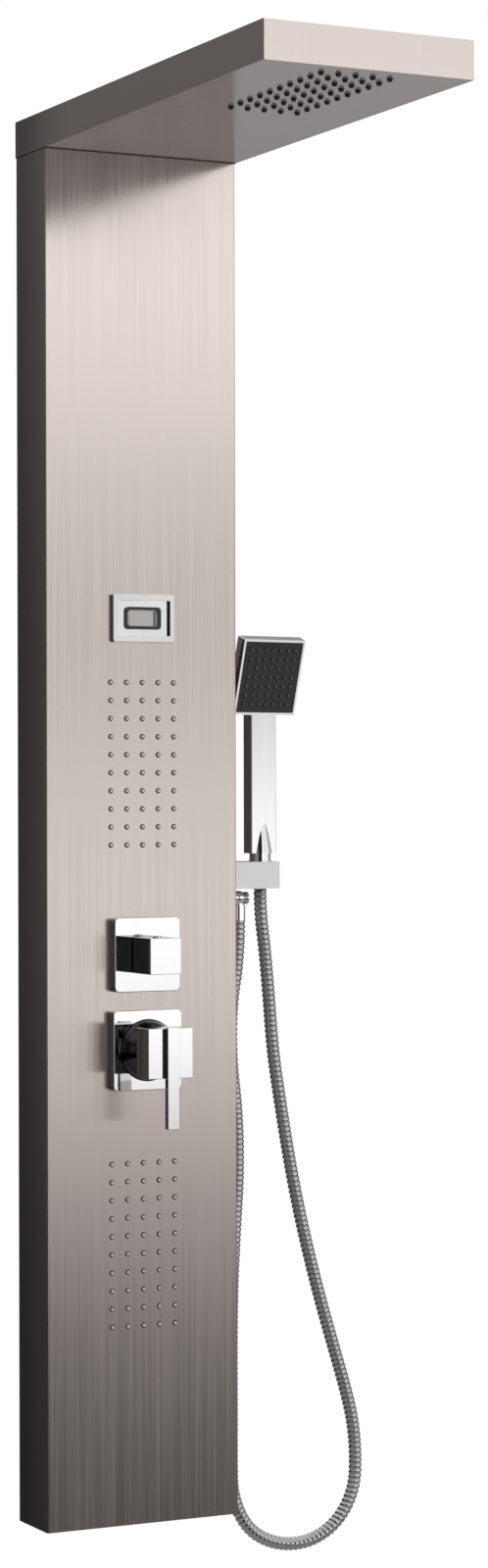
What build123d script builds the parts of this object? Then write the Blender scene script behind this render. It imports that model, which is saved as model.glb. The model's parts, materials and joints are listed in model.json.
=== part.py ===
"""Wall-hung shower panel column, in millimetres.

X runs to the right, Y into the wall and Z up. Everything is drawn from the column's lower
edge (height 0) and from the wall (Y 0), and is saved with its origin at the centre of the
four wall bolts, where the panel is held.
"""
from build123d import *
import math
import os

# ---------------------------------------------------------------- driving dimensions

# Column casing: a folded sheet channel, open towards the wall
COLUMN_WIDTH = 200.0
COLUMN_HEIGHT = 1300.0
COLUMN_DEPTH = 68.0
SHEET = 1.2
FOLD_RADIUS = 1.8           # outside of a sheet fold
BACK_FLANGE = 16.0          # width of the channel's return flanges
COVER_LIP = 12.0            # height of the bottom cover's folded lips

# Rain head: a folded sheet box on top of the column
HEAD_REACH = 452.0          # in front of the column's face
HEAD_THICKNESS = 34.0
HEAD_OVERHANG = 0.75        # wider than the column on each side
HEAD_LEDGE = 9.0            # inner ledge that the underside plate is fixed to
UNDERSIDE_BEARING = 3.2     # how far the underside plate lies on the column's front sheet
GUSSET_SHEET = 3.0
GUSSET_DROP = 120.0         # arm of the gusset inside the column
GUSSET_ARM = 230.0          # arm of the gusset inside the head
GUSSET_HEIGHT = 24.0
GUSSET_WIDTH = 46.0
GUSSET_SIDE_GAP = 11.0      # from the gusset's back edge to the wall
COLUMN_STUD_SHARES = (0.85, 0.35)   # studs along the gusset's arm in the column
HEAD_STUD_SHARES = (0.15, 0.85)     # and along its arm in the head

# Wall fixing
WALL_BOLT_SPACING = 120.0
LOWER_BOLT_HEIGHT = 250.0
UPPER_BOLT_DROP = 150.0     # upper screws, below the column's top
WALL_BOLT_RADIUS = 4.5      # hole in the bracket
BRACKET_SHEET = 2.0
BRACKET_WIDTH = 150.0
BRACKET_HEIGHT = 40.0
BRACKET_CORNER = 3.0
HOOK_WIDTH = 20.0
HOOK_SPACING = 60.0
HOOK_GROOVE = 3.4           # room in front of the bracket for the hanger rail
HOOK_RISE = 14.0
RAIL_HEIGHT = 30.0
RIVET_RADIUS = 2.0
RIVET_HEAD_RADIUS = 3.6
RIVET_HEAD = 1.2
RIVET_SPACING = 16.0

# Rain nozzles
RAIN_COLUMNS = 5
RAIN_ROWS = 10
RAIN_PITCH_X = 16.5
RAIN_PITCH_Y = 18.8
RAIN_MIDDLE = 341.7         # middle of the field, in front of the column's face
RAIN_BASE_RADIUS = 2.9
RAIN_TIP_RADIUS = 2.0
RAIN_PROUD = 2.6
RAIN_BORE = 0.8

# Body jets
JET_COLUMNS = 5
JET_ROWS = 10
JET_PITCH_X = 16.5
JET_PITCH_Z = 17.13
UPPER_JETS_RISE = 180.9     # middle of the field, above the diverter
LOWER_JETS_DROP = 184.8     # middle of the field, below the mixer
JET_BASE_RADIUS = 2.1
JET_TIP_RADIUS = 1.7
JET_PROUD = 0.6
JET_BORE = 0.6
NOZZLE_GAP = 0.4            # between a nozzle and its hole in the sheet

# Water chambers behind the nozzle pads
PAD_SHEET = 2.0
PAD_MARGIN = 11.0           # pad beyond the outer nozzles
PAD_CORNER = 3.0
CHAMBER_WALL = 2.0
CHAMBER_INNER_CORNER = 1.5
CHAMBER_RIM = 8.0           # flange beyond the pad, for the studs
JET_CHAMBER_DEPTH = 14.0
RAIN_CHAMBER_DEPTH = 18.0
STUD_RADIUS = 2.0
STUD_HOLE_GAP = 0.15
NUT_RADIUS = 3.7
NUT_HEIGHT = 3.2
STUD_TIP = 1.6              # stud beyond its nut
STUD_SPREAD = 0.4           # outer studs from the chamber's middle, as a share of its height

# Inner hoses and their tails
HOSE_RADIUS = 6.0
HOSE_BORE = 4.0
TAIL_LENGTH = 11.0
TAIL_COLLAR = 6.0           # collar that the hose's end butts against
TAIL_COLLAR_RADIUS = 6.5
WATERWAY = 2.6
FIT = 0.05                  # running and screw fits, on the radius
UPPER_TAIL_X = -36.0
LOWER_TAIL_X = -25.0
RISER_GAP = 12.0            # between the rain riser and the jets' chamber
RISER_STRAIGHT = 30.0       # riser above the diverter before it leans back
RISER_SHIFT = 62.0          # where it stands upright again
RISER_BEND = 28.0
UPPER_HOSE_STRAIGHT = 24.0  # hose before the upper chamber's tail
JET_HOSE_BEND = 20.0
LOWER_HOSE_REACH = 35.0     # hose straight out of the diverter
LOWER_HOSE_SIDE = 62.0      # where it turns down, left of the middle
LOWER_HOSE_FALL = 33.0
LOWER_HOSE_GAP = 4.0        # between the hose and the mixer's barrel
LOWER_HOSE_INNER = 36.0     # where it passes behind the mixer's arm
LOWER_HOSE_PASS = 12.0
LOWER_HOSE_STRAIGHT = 34.0
LOWER_HOSE_BEND = 22.0
FEED_REACH = 27.0           # hand shower's feed, straight out of the diverter
FEED_END = 26.0             # and straight into the outlet
LINK_WALL = 1.5             # pipe between the valves, beyond the radius of a tail's collar
LINK_BOSS_LENGTH = 6.0      # probe's boss beyond that radius
LINK_BOSS_WALL = 2.0

# Temperature display
DISPLAY_RISE = 138.1        # above the middle of the upper jets
BEZEL_WIDTH = 65.0
BEZEL_HEIGHT = 46.0
BEZEL_THICKNESS = 5.0
BEZEL_CORNER = 2.5
BEZEL_CHAMFER = 0.6
PANEL_WIDTH = 54.5
PANEL_HEIGHT = 33.5
PANEL_PROUD = 1.0           # the inner panel stands this far in front of the column
PANEL_CORNER = 1.0
PANEL_INNER_CORNER = 0.8
DISPLAY_DEPTH = 22.0        # behind the column's face
DISPLAY_WALL = 2.0
SNAP_ARM = 3.0
WINDOW_WIDTH = 38.0
WINDOW_HEIGHT = 21.4
WINDOW_CORNER = 4.0
WINDOW_RING = 3.2
WINDOW_PROUD = 1.4
LCD_WIDTH = 29.0
LCD_HEIGHT = 14.6
LCD_PROUD = 0.6
LCD_CORNER = 1.0
PROBE_LEAD_RADIUS = 1.5
PROBE_TIP_RADIUS = 2.5
PROBE_TIP_LENGTH = 12.0
PROBE_TIP_GAP = 2.0         # from the waterway to the tip
LEAD_EXIT_SHARE = 0.6       # depth of the lead's exit, as a share of the display's
LEAD_EXIT_X = 14.0
LEAD_STRAIGHT = 18.0        # lead below the display before it leans back
LEAD_SHIFT = 46.0           # below the display, where it runs upright behind the chamber
LEAD_BEHIND = 24.0          # behind the display's case
LEAD_TOP_X = 24.0
LEAD_RUN_X = 25.0
LEAD_ABOVE_DIVERTER = 60.0
LEAD_BESIDE_DIVERTER_X = 32.0
LEAD_LOOP_X = 40.0
LEAD_LOOP_BACK = 6.0
LEAD_LOOP_RISE = 12.0
LEAD_PROBE_X = 34.0
LEAD_BEND = 14.0

# Escutcheons of the two controls
ESCUTCHEON_THICKNESS = 11.0
ESCUTCHEON_WALL = 1.5
ESCUTCHEON_CORNER = 4.5
ESCUTCHEON_EDGE = 0.8           # rounding of the front edge

# Square knob, block and lever
CAST_CORNER = 0.8
CAST_EDGE = 0.5                 # rounding of the front edge
CAST_INNER_CORNER = 0.6
SOCKET_CORNER = 1.0

# Diverter
DIVERTER_RISE = 90.5            # above the mixer
DIVERTER_PLATE_WIDTH = 68.3
DIVERTER_PLATE_HEIGHT = 70.5
DIVERTER_BARREL_RADIUS = 21.0
DIVERTER_BARREL_BACK = 42.0     # barrel behind the column's face
DIVERTER_NECK_RADIUS = 15.0
DIVERTER_NECK_PROUD = 6.0
DIVERTER_BOSS_RADIUS = 9.0
DIVERTER_BOSS_PROUD = 12.0
LOCKNUT_RADIUS = 21.0
LOCKNUT_THICKNESS = 5.0
PLUG_RADIUS = 8.0               # turning plug of the diverter
PLUG_BACK = 36.0
PLUG_FLOOR_GAP = 0.5            # behind the turning plug
PLUG_FACE_GAP = 1.0             # its front face behind the boss's
SPINDLE_RADIUS = 4.0
SPINDLE_PROUD = 36.0
KNOB_WIDTH = 32.0
KNOB_HEIGHT = 34.0
KNOB_BACK = 13.0                # back edge, in front of the column's face
KNOB_FRONT = 51.0
KNOB_WALL = 2.5
KNOB_HUB_RADIUS = 7.5
KNOB_SCREW_DEPTH = 32.0         # the set screw's distance in front of the column's face
SET_SCREW_RADIUS = 2.0
SET_SCREW_PROUD = 1.5           # beyond the hub
SET_SCREW_SOCKET = 1.1          # hexagon's radius
SET_SCREW_SOCKET_DEPTH = 1.5
KNOB_PLUG_RADIUS = 4.3
KNOB_PLUG_RISE = 1.6
KNOB_PLUG_DOME = 1.44
PORT_DEPTH = 26.0               # port axes behind the column's face

# Mixer
MIXER_HEIGHT = 450.5
MIXER_PLATE_WIDTH = 71.4
MIXER_PLATE_HEIGHT = 76.0
BALL_RADIUS = 29.0
BALL_WALL = 1.6
PIVOT_PROUD = 7.0               # the ball's centre, in front of the column's face
BALL_RIM = -1.0                 # the ball's open edge, in front of the column's face
BALL_GAP = 0.5
MIXER_CUP_WALL = 1.5
MIXER_CUP_PROUD = 8.0
MIXER_CUP_FLOOR = 13.0          # floor of the cup, behind the column's face
MIXER_FLANGE_RADIUS = 34.0
RING_NUT_RADIUS = 34.0
RING_NUT_THICKNESS = 5.0
MIXER_BARREL_RADIUS = 26.0
MIXER_BARREL_BACK = 44.0
CARTRIDGE_RADIUS = 17.5
CARTRIDGE_BACK = 38.0
CARTRIDGE_FRONT = -1.0
CARTRIDGE_NUT_RADIUS = 19.8
CARTRIDGE_NUT_FRONT = -9.0
CARTRIDGE_BODY_RADIUS = 16.0    # the cartridge in front of its seat
CARRIER_GAP = 0.5               # behind the turning carrier
CARRIER_RADIUS = 11.0
CARRIER_BACK = -10.0
CARRIER_FRONT = 12.0
STEM_SIDE = 8.0
STEM_BACK = 1.0
STEM_FRONT = 48.0
STEM_GAP = 0.3
STEM_SWING_GAP = 3.0            # behind the stem, so that it can tilt
PIN_RADIUS = 1.5
PIN_END_GAP = 0.66              # from the pin's ends to the carrier's surface
BLOCK_WIDTH = 46.0
BLOCK_HEIGHT = 47.0
BLOCK_BACK = 35.0
BLOCK_FRONT = 61.0
BLOCK_WALL = 3.0
SOCKET_SIDE = 16.0
LEVER_WIDTH = 11.7
LEVER_THICKNESS = 6.3
LEVER_LENGTH = 95.0
LEVER_ABOVE_BLOCK = 1.0
LEVER_SCREW_RADIUS = 2.0
LEVER_SCREW_HEAD = 4.0
LEVER_SCREW_HEAD_HEIGHT = 2.5
LEVER_SCREW_DEPTH = 3.78        # in the lever
LEVER_SCREW_OFFSET = 14.0       # above the block's middle, clear of the stem's socket
LEVER_CORNER = 0.5
LEVER_EDGE = 0.4

# Supply inlets
INLET_SPACING = 124.0
INLET_ARM_RADIUS = 11.0
INLET_DROP_RADIUS = 12.0
INLET_DROP = 18.5               # lower end of the arm, below the mixer's axis
INLET_THREAD_RADIUS = 10.48
INLET_THREAD_LENGTH = 18.0
INLET_HEX_RADIUS = 13.5
INLET_HEX = 6.0
INLET_BORE = 6.5
VALVE_LEDGE = 2.0               # check valve's ledge in the inlet
VALVE_BORE = 3.9

# Hose outlet on the right side
AXIS_DEPTH = 38.0               # hand shower's axis, in front of the wall
OUTLET_HEIGHT = 591.5
OUTLET_DROP_X = 17.0            # drop axis, outside the column's side
OUTLET_THREAD_RADIUS = 6.5
OUTLET_FLANGE_RADIUS = 8.4
OUTLET_FLANGE = 2.0
OUTLET_BALL_RADIUS = 7.1
OUTLET_CAP_NECK = 4.8           # neck's radius between the ball and its cap
OUTLET_CAP_RADIUS = 6.2
OUTLET_CAP_THICKNESS = 3.0
OUTLET_CAP_REACH = 9.2
OUTLET_CAP_EDGE = 1.0
OUTLET_NECK_RADIUS = 5.1
OUTLET_NECK_IN_NUT = 4.0
OUTLET_NUT_SEAT = 5.0           # depth of the nut's bore over the neck
OUTLET_LOCKNUT_WALL = 2.5       # hexagon beyond the flange's radius
OUTLET_LOCKNUT_THICKNESS = 6.0
OUTLET_NUT_RADIUS = 6.5
OUTLET_NUT_LENGTH = 14.5
OUTLET_NUT_TOP = 7.0            # below the outlet's axis

# Hand shower holder
HOLDER_RISE = 9.5               # lower face above the outlet's axis
HOLDER_HEIGHT = 26.0
HOLDER_REACH = 52.5
HOLDER_DEPTH = 38.0
SEAT_X = 40.5                   # seat axis, outside the column's side
SEAT_GAP = 0.35
HOLDER_SLOT = 15.0
HOLDER_EDGE = 1.0
HOLDER_SCREW_RADIUS = 2.5
HOLDER_SCREW_REACH = 10.0
HOLDER_SCREW_SPACING = 18.0
HOLDER_SCREW_TIP_GAP = 1.0
HOLDER_SCREW_HEAD = 3.0

# Shower hose and its fittings
SHOWER_HOSE_RADIUS = 6.5
HOSE_TOP_STRAIGHT = 23.0        # the hose leaves the holder straight down
HOSE_END_STRAIGHT = 36.0        # and rises straight into the outlet
NUT_TOP_RADIUS = 11.9
NUT_BASE_RADIUS = 9.6
NUT_LENGTH = 24.5
NUT_ABOVE_HOLDER = 0.5
FERRULE_RADIUS = 6.9
FERRULE_FLANGE_RADIUS = 9.4
FERRULE_FLANGE = 3.0
FERRULE_BELOW_HOLDER = 0.5
FERRULE_BORE = 3.5
NUT_FLOOR = 3.0

# Hand shower
HANDSET_TURN = 11.0             # degrees, away from the column
HANDSET_ABOVE_HOLDER = 8.0
HANDLE_WIDTH = 30.6
HANDLE_THICKNESS = 13.4
HANDLE_EDGE = 1.2
NECK_RADIUS = 10.48
NECK_IN_NUT = 10.0
NECK_BORE_DEPTH = 12.0          # of the neck's bore above the handle's lower end
NECK_BORE = 6.5
BOSS_BASE_RADIUS = 11.8
BOSS_TOP_RADIUS = 5.6
BOSS_HEIGHT = 36.0
SPRAY_SIDE = 75.0
SPRAY_FLARE = 1.2               # the head's back is wider by this much on each side
SPRAY_THICKNESS = 10.0
SPRAY_CORNER = 1.6
SPRAY_TILT = 14.5               # degrees
SPRAY_HEIGHT = 170.8            # middle of the face, above the handle's lower end
SPRAY_FORWARD = 16.3
SPRAY_RIM = 2.4
SPRAY_LEDGE = 3.5
SPRAY_BACK_WALL = 2.5
SPRAY_INNER_CORNER = 1.0
SPRAY_ROOT = 8.0                # handle's back meets the head this far above its middle
SPRAY_ROOT_EDGE = 1.5           # handle's front meets it this far above its lower edge
SPRAY_ROOT_STEP = 2.0
FACE_SHEET = 2.0
FACE_RECESS = 0.6
SPRAY_ROWS = 7
SPRAY_PITCH = 8.95
SPRAY_TIP_RADIUS = 1.9
SPRAY_TIP_ROUND = 0.8
SPRAY_BASE_RADIUS = 2.4
SPRAY_PROUD = 0.7
SPRAY_BORE = 0.5
CHANNEL_WIDTH = 20.0            # waterway in the handle
CHANNEL_THICKNESS = 5.0
CHANNEL_FLOOR = 10.0            # above the handle's lower end
CHANNEL_RISE = 2.5              # waterway's top, above the lower end of the head's water space
CUT_PAST = 1.0                  # cuts run this far past an open face

# ---------------------------------------------------------------- derived places

RIGHT = (1, 0, 0)
LEFT = (-1, 0, 0)
IN = (0, 1, 0)
OUT = (0, -1, 0)
UP = (0, 0, 1)
DOWN = (0, 0, -1)
BASE = (Align.CENTER, Align.CENTER, Align.MIN)

UPPER_BOLT_HEIGHT = COLUMN_HEIGHT - UPPER_BOLT_DROP
ORIGIN_HEIGHT = (LOWER_BOLT_HEIGHT + UPPER_BOLT_HEIGHT) / 2
DIVERTER_HEIGHT = MIXER_HEIGHT + DIVERTER_RISE
UPPER_JETS_HEIGHT = DIVERTER_HEIGHT + UPPER_JETS_RISE
LOWER_JETS_HEIGHT = MIXER_HEIGHT - LOWER_JETS_DROP
DISPLAY_HEIGHT = UPPER_JETS_HEIGHT + DISPLAY_RISE
HOLDER_BASE = OUTLET_HEIGHT + HOLDER_RISE
FRONT = -COLUMN_DEPTH
INNER_FRONT = FRONT + SHEET
SIDE = COLUMN_WIDTH / 2
INNER_SIDE = SIDE - SHEET
INNER_FOLD = FOLD_RADIUS - SHEET
HEAD_SIDE = SIDE + HEAD_OVERHANG
HEAD_FRONT = FRONT - HEAD_REACH
HEAD_TOP = COLUMN_HEIGHT + HEAD_THICKNESS
HEAD_FLOOR = COLUMN_HEIGHT + SHEET
PORT_Y = FRONT + PORT_DEPTH
AXIS_Y = -AXIS_DEPTH
AXIS_X = SIDE + SEAT_X
HOLDER_TOP = HOLDER_BASE + HOLDER_HEIGHT
HANDSET_BASE = HOLDER_TOP + HANDSET_ABOVE_HOLDER
OUTLET_X = SIDE + OUTLET_DROP_X
HOSE_END = OUTLET_HEIGHT - OUTLET_NUT_TOP - OUTLET_NUT_LENGTH
PIVOT_Y = FRONT - PIVOT_PROUD
TAIL_RADIUS = HOSE_BORE - FIT
MIXER_CUP_RADIUS = BALL_RADIUS + BALL_GAP + MIXER_CUP_WALL
JET_FIELD = (JET_COLUMNS, JET_ROWS, JET_PITCH_X, JET_PITCH_Z)
RAIN_FIELD = (RAIN_COLUMNS, RAIN_ROWS, RAIN_PITCH_X, RAIN_PITCH_Y)
SPRAY_FIELD = (SPRAY_ROWS, SPRAY_ROWS, SPRAY_PITCH, SPRAY_PITCH)


def proud(distance):
    """Y of a plane this far in front of the column's face."""
    return FRONT - distance


# The shower hose hangs in one plane beside the column: (X, height) from the hand shower
# down round the loop and up to the outlet.
HOSE_ROUTE = [
    (AXIS_X, HOLDER_BASE - FERRULE_BELOW_HOLDER),
    (AXIS_X, HOLDER_BASE - HOSE_TOP_STRAIGHT),
    (145.5, 541.0),
    (150.0, 492.0),
    (153.8, 442.0),
    (162.0, 391.0),
    (170.8, 340.0),
    (181.0, 290.0),
    (192.6, 243.0),
    (205.0, 198.0),
    (218.5, 154.0),
    (231.5, 113.0),
    (241.5, 76.0),
    (245.0, 41.0),
    (243.5, 6.0),
    (225.8, -24.5),
    (195.2, -42.0),
    (159.8, -42.2),
    (129.2, -24.5),
    (111.5, 6.5),
    (109.6, 42.0),
    (110.0, 92.0),
    (109.6, 150.0),
    (110.6, 212.0),
    (114.0, 268.0),
    (117.2, 325.0),
    (115.0, 383.0),
    (110.0, 436.0),
    (110.6, 490.0),
    (OUTLET_X, HOSE_END - HOSE_END_STRAIGHT),
    (OUTLET_X, HOSE_END),
]


# ---------------------------------------------------------------- shared shapes

def block(x, y, z):
    """Rectangular solid between two limits on each axis."""
    size = [abs(b - a) for a, b in (x, y, z)]
    centre = [(a + b) / 2 for a, b in (x, y, z)]
    return Pos(*centre) * Box(*size)


def rod(axis, start, length, radius, end_radius=None):
    """Round bar, or cone, from a start point along an axis."""
    if end_radius is None:
        solid = Cylinder(radius, length, align=BASE)
    else:
        solid = Cone(radius, end_radius, length, align=BASE)
    return Plane(origin=start, z_dir=axis).location * solid


def hexagon(axis, start, length, radius):
    """Hexagonal bar, radius across its corners."""
    plane = Plane(origin=start, z_dir=axis)
    return extrude(plane * RegularPolygon(radius, 6), amount=length)


def plate(width, height, corner, back, thickness, z, x=0.0):
    """Upright plate with rounded corners, from its back plane towards the bather."""
    plane = Plane(origin=(x, back, z), x_dir=RIGHT, z_dir=OUT)
    return extrude(plane * RectangleRounded(width, height, corner), amount=thickness)


def field_points(columns, rows, pitch_x, pitch_y):
    """Centres of a field of nozzles about its own middle."""
    return [
        ((i - (columns - 1) / 2) * pitch_x, (j - (rows - 1) / 2) * pitch_y)
        for j in range(rows)
        for i in range(columns)
    ]


def field_size(columns, rows, pitch_x, pitch_y):
    """Width and height of the pad that carries a field of nozzles."""
    return (columns - 1) * pitch_x + 2 * PAD_MARGIN, (rows - 1) * pitch_y + 2 * PAD_MARGIN


def turn_at(before, corner, after):
    """Angle in degrees by which a route turns at a corner."""
    return (Vector(*corner) - Vector(*before)).get_angle(Vector(*after) - Vector(*corner))


def bend_radii(points, largest=1.0e6):
    """Radius at each corner: as large as the two runs allow, up to a largest bend."""
    radii = []
    for before, corner, after in zip(points, points[1:], points[2:]):
        runs = [(Vector(*a) - Vector(*b)).length for a, b in ((before, corner), (corner, after))]
        half_turn = math.radians(turn_at(before, corner, after) / 2)
        radii.append(min(largest, 0.45 * min(runs) / math.tan(half_turn)))
    return radii


def swept(points, radius, largest=1.0e6):
    """Round bar along straight runs joined by tangent arcs."""
    path = FilletPolyline(*points, radius=bend_radii(points, largest))
    return sweep(Plane(origin=path @ 0, z_dir=path % 0) * Circle(radius), path)


def hose(points, largest):
    """Inner water hose."""
    return swept(points, HOSE_RADIUS, largest) - swept(points, HOSE_BORE, largest)


def tail(axis, start):
    """Collar and tail that a hose is pushed on, rooted in the wall it stands on."""
    root = Vector(*start) - Vector(*axis) * CHAMBER_WALL
    collar_end = Vector(*start) + Vector(*axis) * TAIL_COLLAR
    collar = rod(axis, root, CHAMBER_WALL + TAIL_COLLAR, TAIL_COLLAR_RADIUS)
    return collar + rod(axis, collar_end, TAIL_LENGTH, TAIL_RADIUS)


def tail_bore(axis, start, depth):
    """Waterway through a tail, reaching a depth below the surface it stands on."""
    inner = Vector(*start) - Vector(*axis) * depth
    return rod(axis, inner, depth + TAIL_COLLAR + TAIL_LENGTH, WATERWAY)


def hose_start(axis, start):
    """Where a hose's end butts against the collar of a tail."""
    return tuple(Vector(*start) + Vector(*axis) * TAIL_COLLAR)


def stud(axis, start, clamped):
    """Weld stud with its nut, clamping a thickness against the surface it stands on."""
    nut_start = Vector(*start) + Vector(*axis) * clamped
    shank = rod(axis, start, clamped + NUT_HEIGHT + STUD_TIP, STUD_RADIUS)
    return shank + hexagon(axis, nut_start, NUT_HEIGHT, NUT_RADIUS)


# ---------------------------------------------------------------- nozzle pads and chambers

def nozzle_pad(field, base_radius, tip_radius, reach, bore):
    """Silicone pad with its nozzles; local Z 0 is its face, the nozzles point down."""
    width, height = field_size(*field)
    points = field_points(*field)
    pad = extrude(RectangleRounded(width, height, PAD_CORNER), amount=PAD_SHEET)
    nozzles = [rod(DOWN, (x, y, 0), reach, base_radius, tip_radius) for x, y in points]
    bores = [rod(DOWN, (x, y, PAD_SHEET), PAD_SHEET + reach, bore) for x, y in points]
    return pad + nozzles - bores


def stud_points(field):
    """Six fixing points round a chamber, in the middle of its rim."""
    width, height = field_size(*field)
    return [
        (side * (width + CHAMBER_RIM) / 2, step * height * STUD_SPREAD)
        for side in (-1, 1)
        for step in (-1, 0, 1)
    ]


def chamber(field, depth, tail_x):
    """Water chamber over a pad, with its rim, stud holes and hose tail; local Z 0 as the pad's."""
    width, height = field_size(*field)
    flange = RectangleRounded(width + 2 * CHAMBER_RIM, height, PAD_CORNER)
    rim = extrude(flange, amount=CHAMBER_WALL)
    shell = extrude(RectangleRounded(width, height, PAD_CORNER), amount=depth)
    inner_size = (width - 2 * CHAMBER_WALL, height - 2 * CHAMBER_WALL)
    inner = RectangleRounded(*inner_size, CHAMBER_INNER_CORNER)
    hollow = extrude(inner, amount=depth - CHAMBER_WALL)
    tail_start = (tail_x, height / 2, depth / 2)
    solid = rim + shell + tail(IN, tail_start) - hollow
    solid -= tail_bore(IN, tail_start, CHAMBER_WALL)
    hole = STUD_RADIUS + STUD_HOLE_GAP
    solid -= [rod(UP, (x, y, 0), CHAMBER_WALL, hole) for x, y in stud_points(field)]
    return Pos(0, 0, PAD_SHEET) * solid


def field_places():
    """Where each field of nozzles sits, as a plane on the inside of the sheet."""
    rain_y = FRONT - RAIN_MIDDLE
    return {
        "rain": Plane(origin=(0, rain_y, HEAD_FLOOR), x_dir=RIGHT, z_dir=UP),
        "upper": Plane(origin=(0, INNER_FRONT, UPPER_JETS_HEIGHT), x_dir=RIGHT, z_dir=IN),
        "lower": Plane(origin=(0, INNER_FRONT, LOWER_JETS_HEIGHT), x_dir=LEFT, z_dir=IN),
    }


def chamber_tail(place, field, depth, tail_x):
    """Where the hose's end sits on a chamber's tail."""
    height = field_size(*field)[1]
    local = (tail_x, height / 2 + TAIL_COLLAR, PAD_SHEET + depth / 2)
    return tuple(place.from_local_coords(Vector(*local)))


# ---------------------------------------------------------------- column casing

def column_shell():
    """Folded channel with its return flanges and every opening in it."""
    outer = RectangleRounded(COLUMN_WIDTH, COLUMN_DEPTH, FOLD_RADIUS)
    inner = RectangleRounded(COLUMN_WIDTH - 2 * SHEET, COLUMN_DEPTH - 2 * SHEET, INNER_FOLD)
    gap = Pos(0, COLUMN_DEPTH / 2) * Rectangle(COLUMN_WIDTH - 2 * BACK_FLANGE, 4 * SHEET)
    shell = Pos(0, FRONT / 2, 0) * extrude(outer - inner - gap, amount=COLUMN_HEIGHT)
    return shell - front_cuts() - side_and_back_cuts()


def front_cuts():
    """Openings in the column's face: jets, controls and display."""
    through = 4 * SHEET
    start = FRONT - SHEET
    cuts = []
    for height in (UPPER_JETS_HEIGHT, LOWER_JETS_HEIGHT):
        for x, z in field_points(*JET_FIELD):
            place = (x, start, height + z)
            cuts.append(rod(IN, place, through, JET_BASE_RADIUS + NOZZLE_GAP))
    cuts.append(rod(IN, (0, start, DIVERTER_HEIGHT), through, DIVERTER_NECK_RADIUS + FIT))
    cuts.append(rod(IN, (0, start, MIXER_HEIGHT), through, MIXER_CUP_RADIUS + FIT))
    width = PANEL_WIDTH + 2 * STUD_HOLE_GAP
    height = PANEL_HEIGHT + 2 * STUD_HOLE_GAP
    cuts.append(plate(width, height, PANEL_CORNER, INNER_FRONT + SHEET, through, DISPLAY_HEIGHT))
    return cuts


def side_and_back_cuts():
    """Holes for the outlet, the holder's screws and the rails' rivets."""
    through = 4 * SHEET
    start = INNER_SIDE - SHEET
    cuts = [rod(RIGHT, (start, AXIS_Y, OUTLET_HEIGHT), through, OUTLET_THREAD_RADIUS + FIT)]
    for y, z in holder_screw_points():
        cuts.append(rod(RIGHT, (start, y, z), through, HOLDER_SCREW_RADIUS + FIT))
    for x, z in rivet_points():
        cuts.append(rod(OUT, (x, SHEET, z), through, RIVET_RADIUS + STUD_HOLE_GAP))
    return cuts


def column_bottom_cover():
    """Tray that closes the column's lower end, with its lips inside the side walls."""
    depth = (INNER_FRONT, -SHEET)
    floor = block((-INNER_SIDE, INNER_SIDE), depth, (0, SHEET))
    cover = floor
    for side in (-1, 1):
        lip = (side * INNER_SIDE, side * (INNER_SIDE - SHEET))
        cover += block(lip, depth, (0, SHEET + COVER_LIP))
    upright = cover.edges().filter_by(Axis.Z)
    corners = upright.filter_by(lambda edge: abs(edge.center().X) > INNER_SIDE - SHEET / 2)
    return fillet(corners, INNER_FOLD)


# ---------------------------------------------------------------- wall fixing

def bolt_heights():
    return (LOWER_BOLT_HEIGHT, UPPER_BOLT_HEIGHT)


def rail_base(bolt_height):
    """Lower edge of a hanger rail, which rests on the bracket's hooks."""
    return bolt_height + BRACKET_HEIGHT / 2


def rivet_points():
    """Rivets through the column's flanges and the hanger rails."""
    across = SIDE - BACK_FLANGE / 2
    return [
        (side * across, rail_base(height) + RAIL_HEIGHT / 2 + step * RIVET_SPACING / 2)
        for height in bolt_heights()
        for side in (-1, 1)
        for step in (-1, 1)
    ]


def wall_bracket(height):
    """Steel strip with two wall screw holes and two upturned hooks."""
    top = height + BRACKET_HEIGHT / 2
    hook_front = -BRACKET_SHEET - HOOK_GROOVE - BRACKET_SHEET
    strip = plate(BRACKET_WIDTH, BRACKET_HEIGHT, BRACKET_CORNER, 0, BRACKET_SHEET, height)
    for side in (-1, 1):
        middle = side * HOOK_SPACING / 2
        span = (middle - HOOK_WIDTH / 2, middle + HOOK_WIDTH / 2)
        strip += block(span, (hook_front, 0), (top - BRACKET_SHEET, top))
        strip += block(
            span, (hook_front, hook_front + BRACKET_SHEET), (top - BRACKET_SHEET, top + HOOK_RISE)
        )
        hole = (side * WALL_BOLT_SPACING / 2, 0, height)
        strip -= rod(OUT, hole, BRACKET_SHEET, WALL_BOLT_RADIUS)
    return strip


def hanger_rail(height):
    """Rail across the inside of the back flanges, which drops into the hooks."""
    base = rail_base(height)
    rail = block(
        (-INNER_SIDE, INNER_SIDE), (-SHEET - BRACKET_SHEET, -SHEET), (base, base + RAIL_HEIGHT)
    )
    corners = rail.edges().filter_by(Axis.Z).group_by(Axis.Y)[-1]
    rail = chamfer(corners, FOLD_RADIUS - SHEET)
    for x, z in rivet_points():
        if base < z < base + RAIL_HEIGHT:
            rail -= rod(OUT, (x, 0, z), 4 * BRACKET_SHEET, RIVET_RADIUS + STUD_HOLE_GAP)
    return rail


def hanger_rivets():
    """All the rivets of the two rails."""
    length = SHEET + BRACKET_SHEET
    rivets = []
    for x, z in rivet_points():
        shank = rod(OUT, (x, 0, z), length, RIVET_RADIUS)
        rivets.append(shank + rod(OUT, (x, -length, z), RIVET_HEAD, RIVET_HEAD_RADIUS))
    return Compound(children=rivets)


# ---------------------------------------------------------------- rain head

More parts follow.
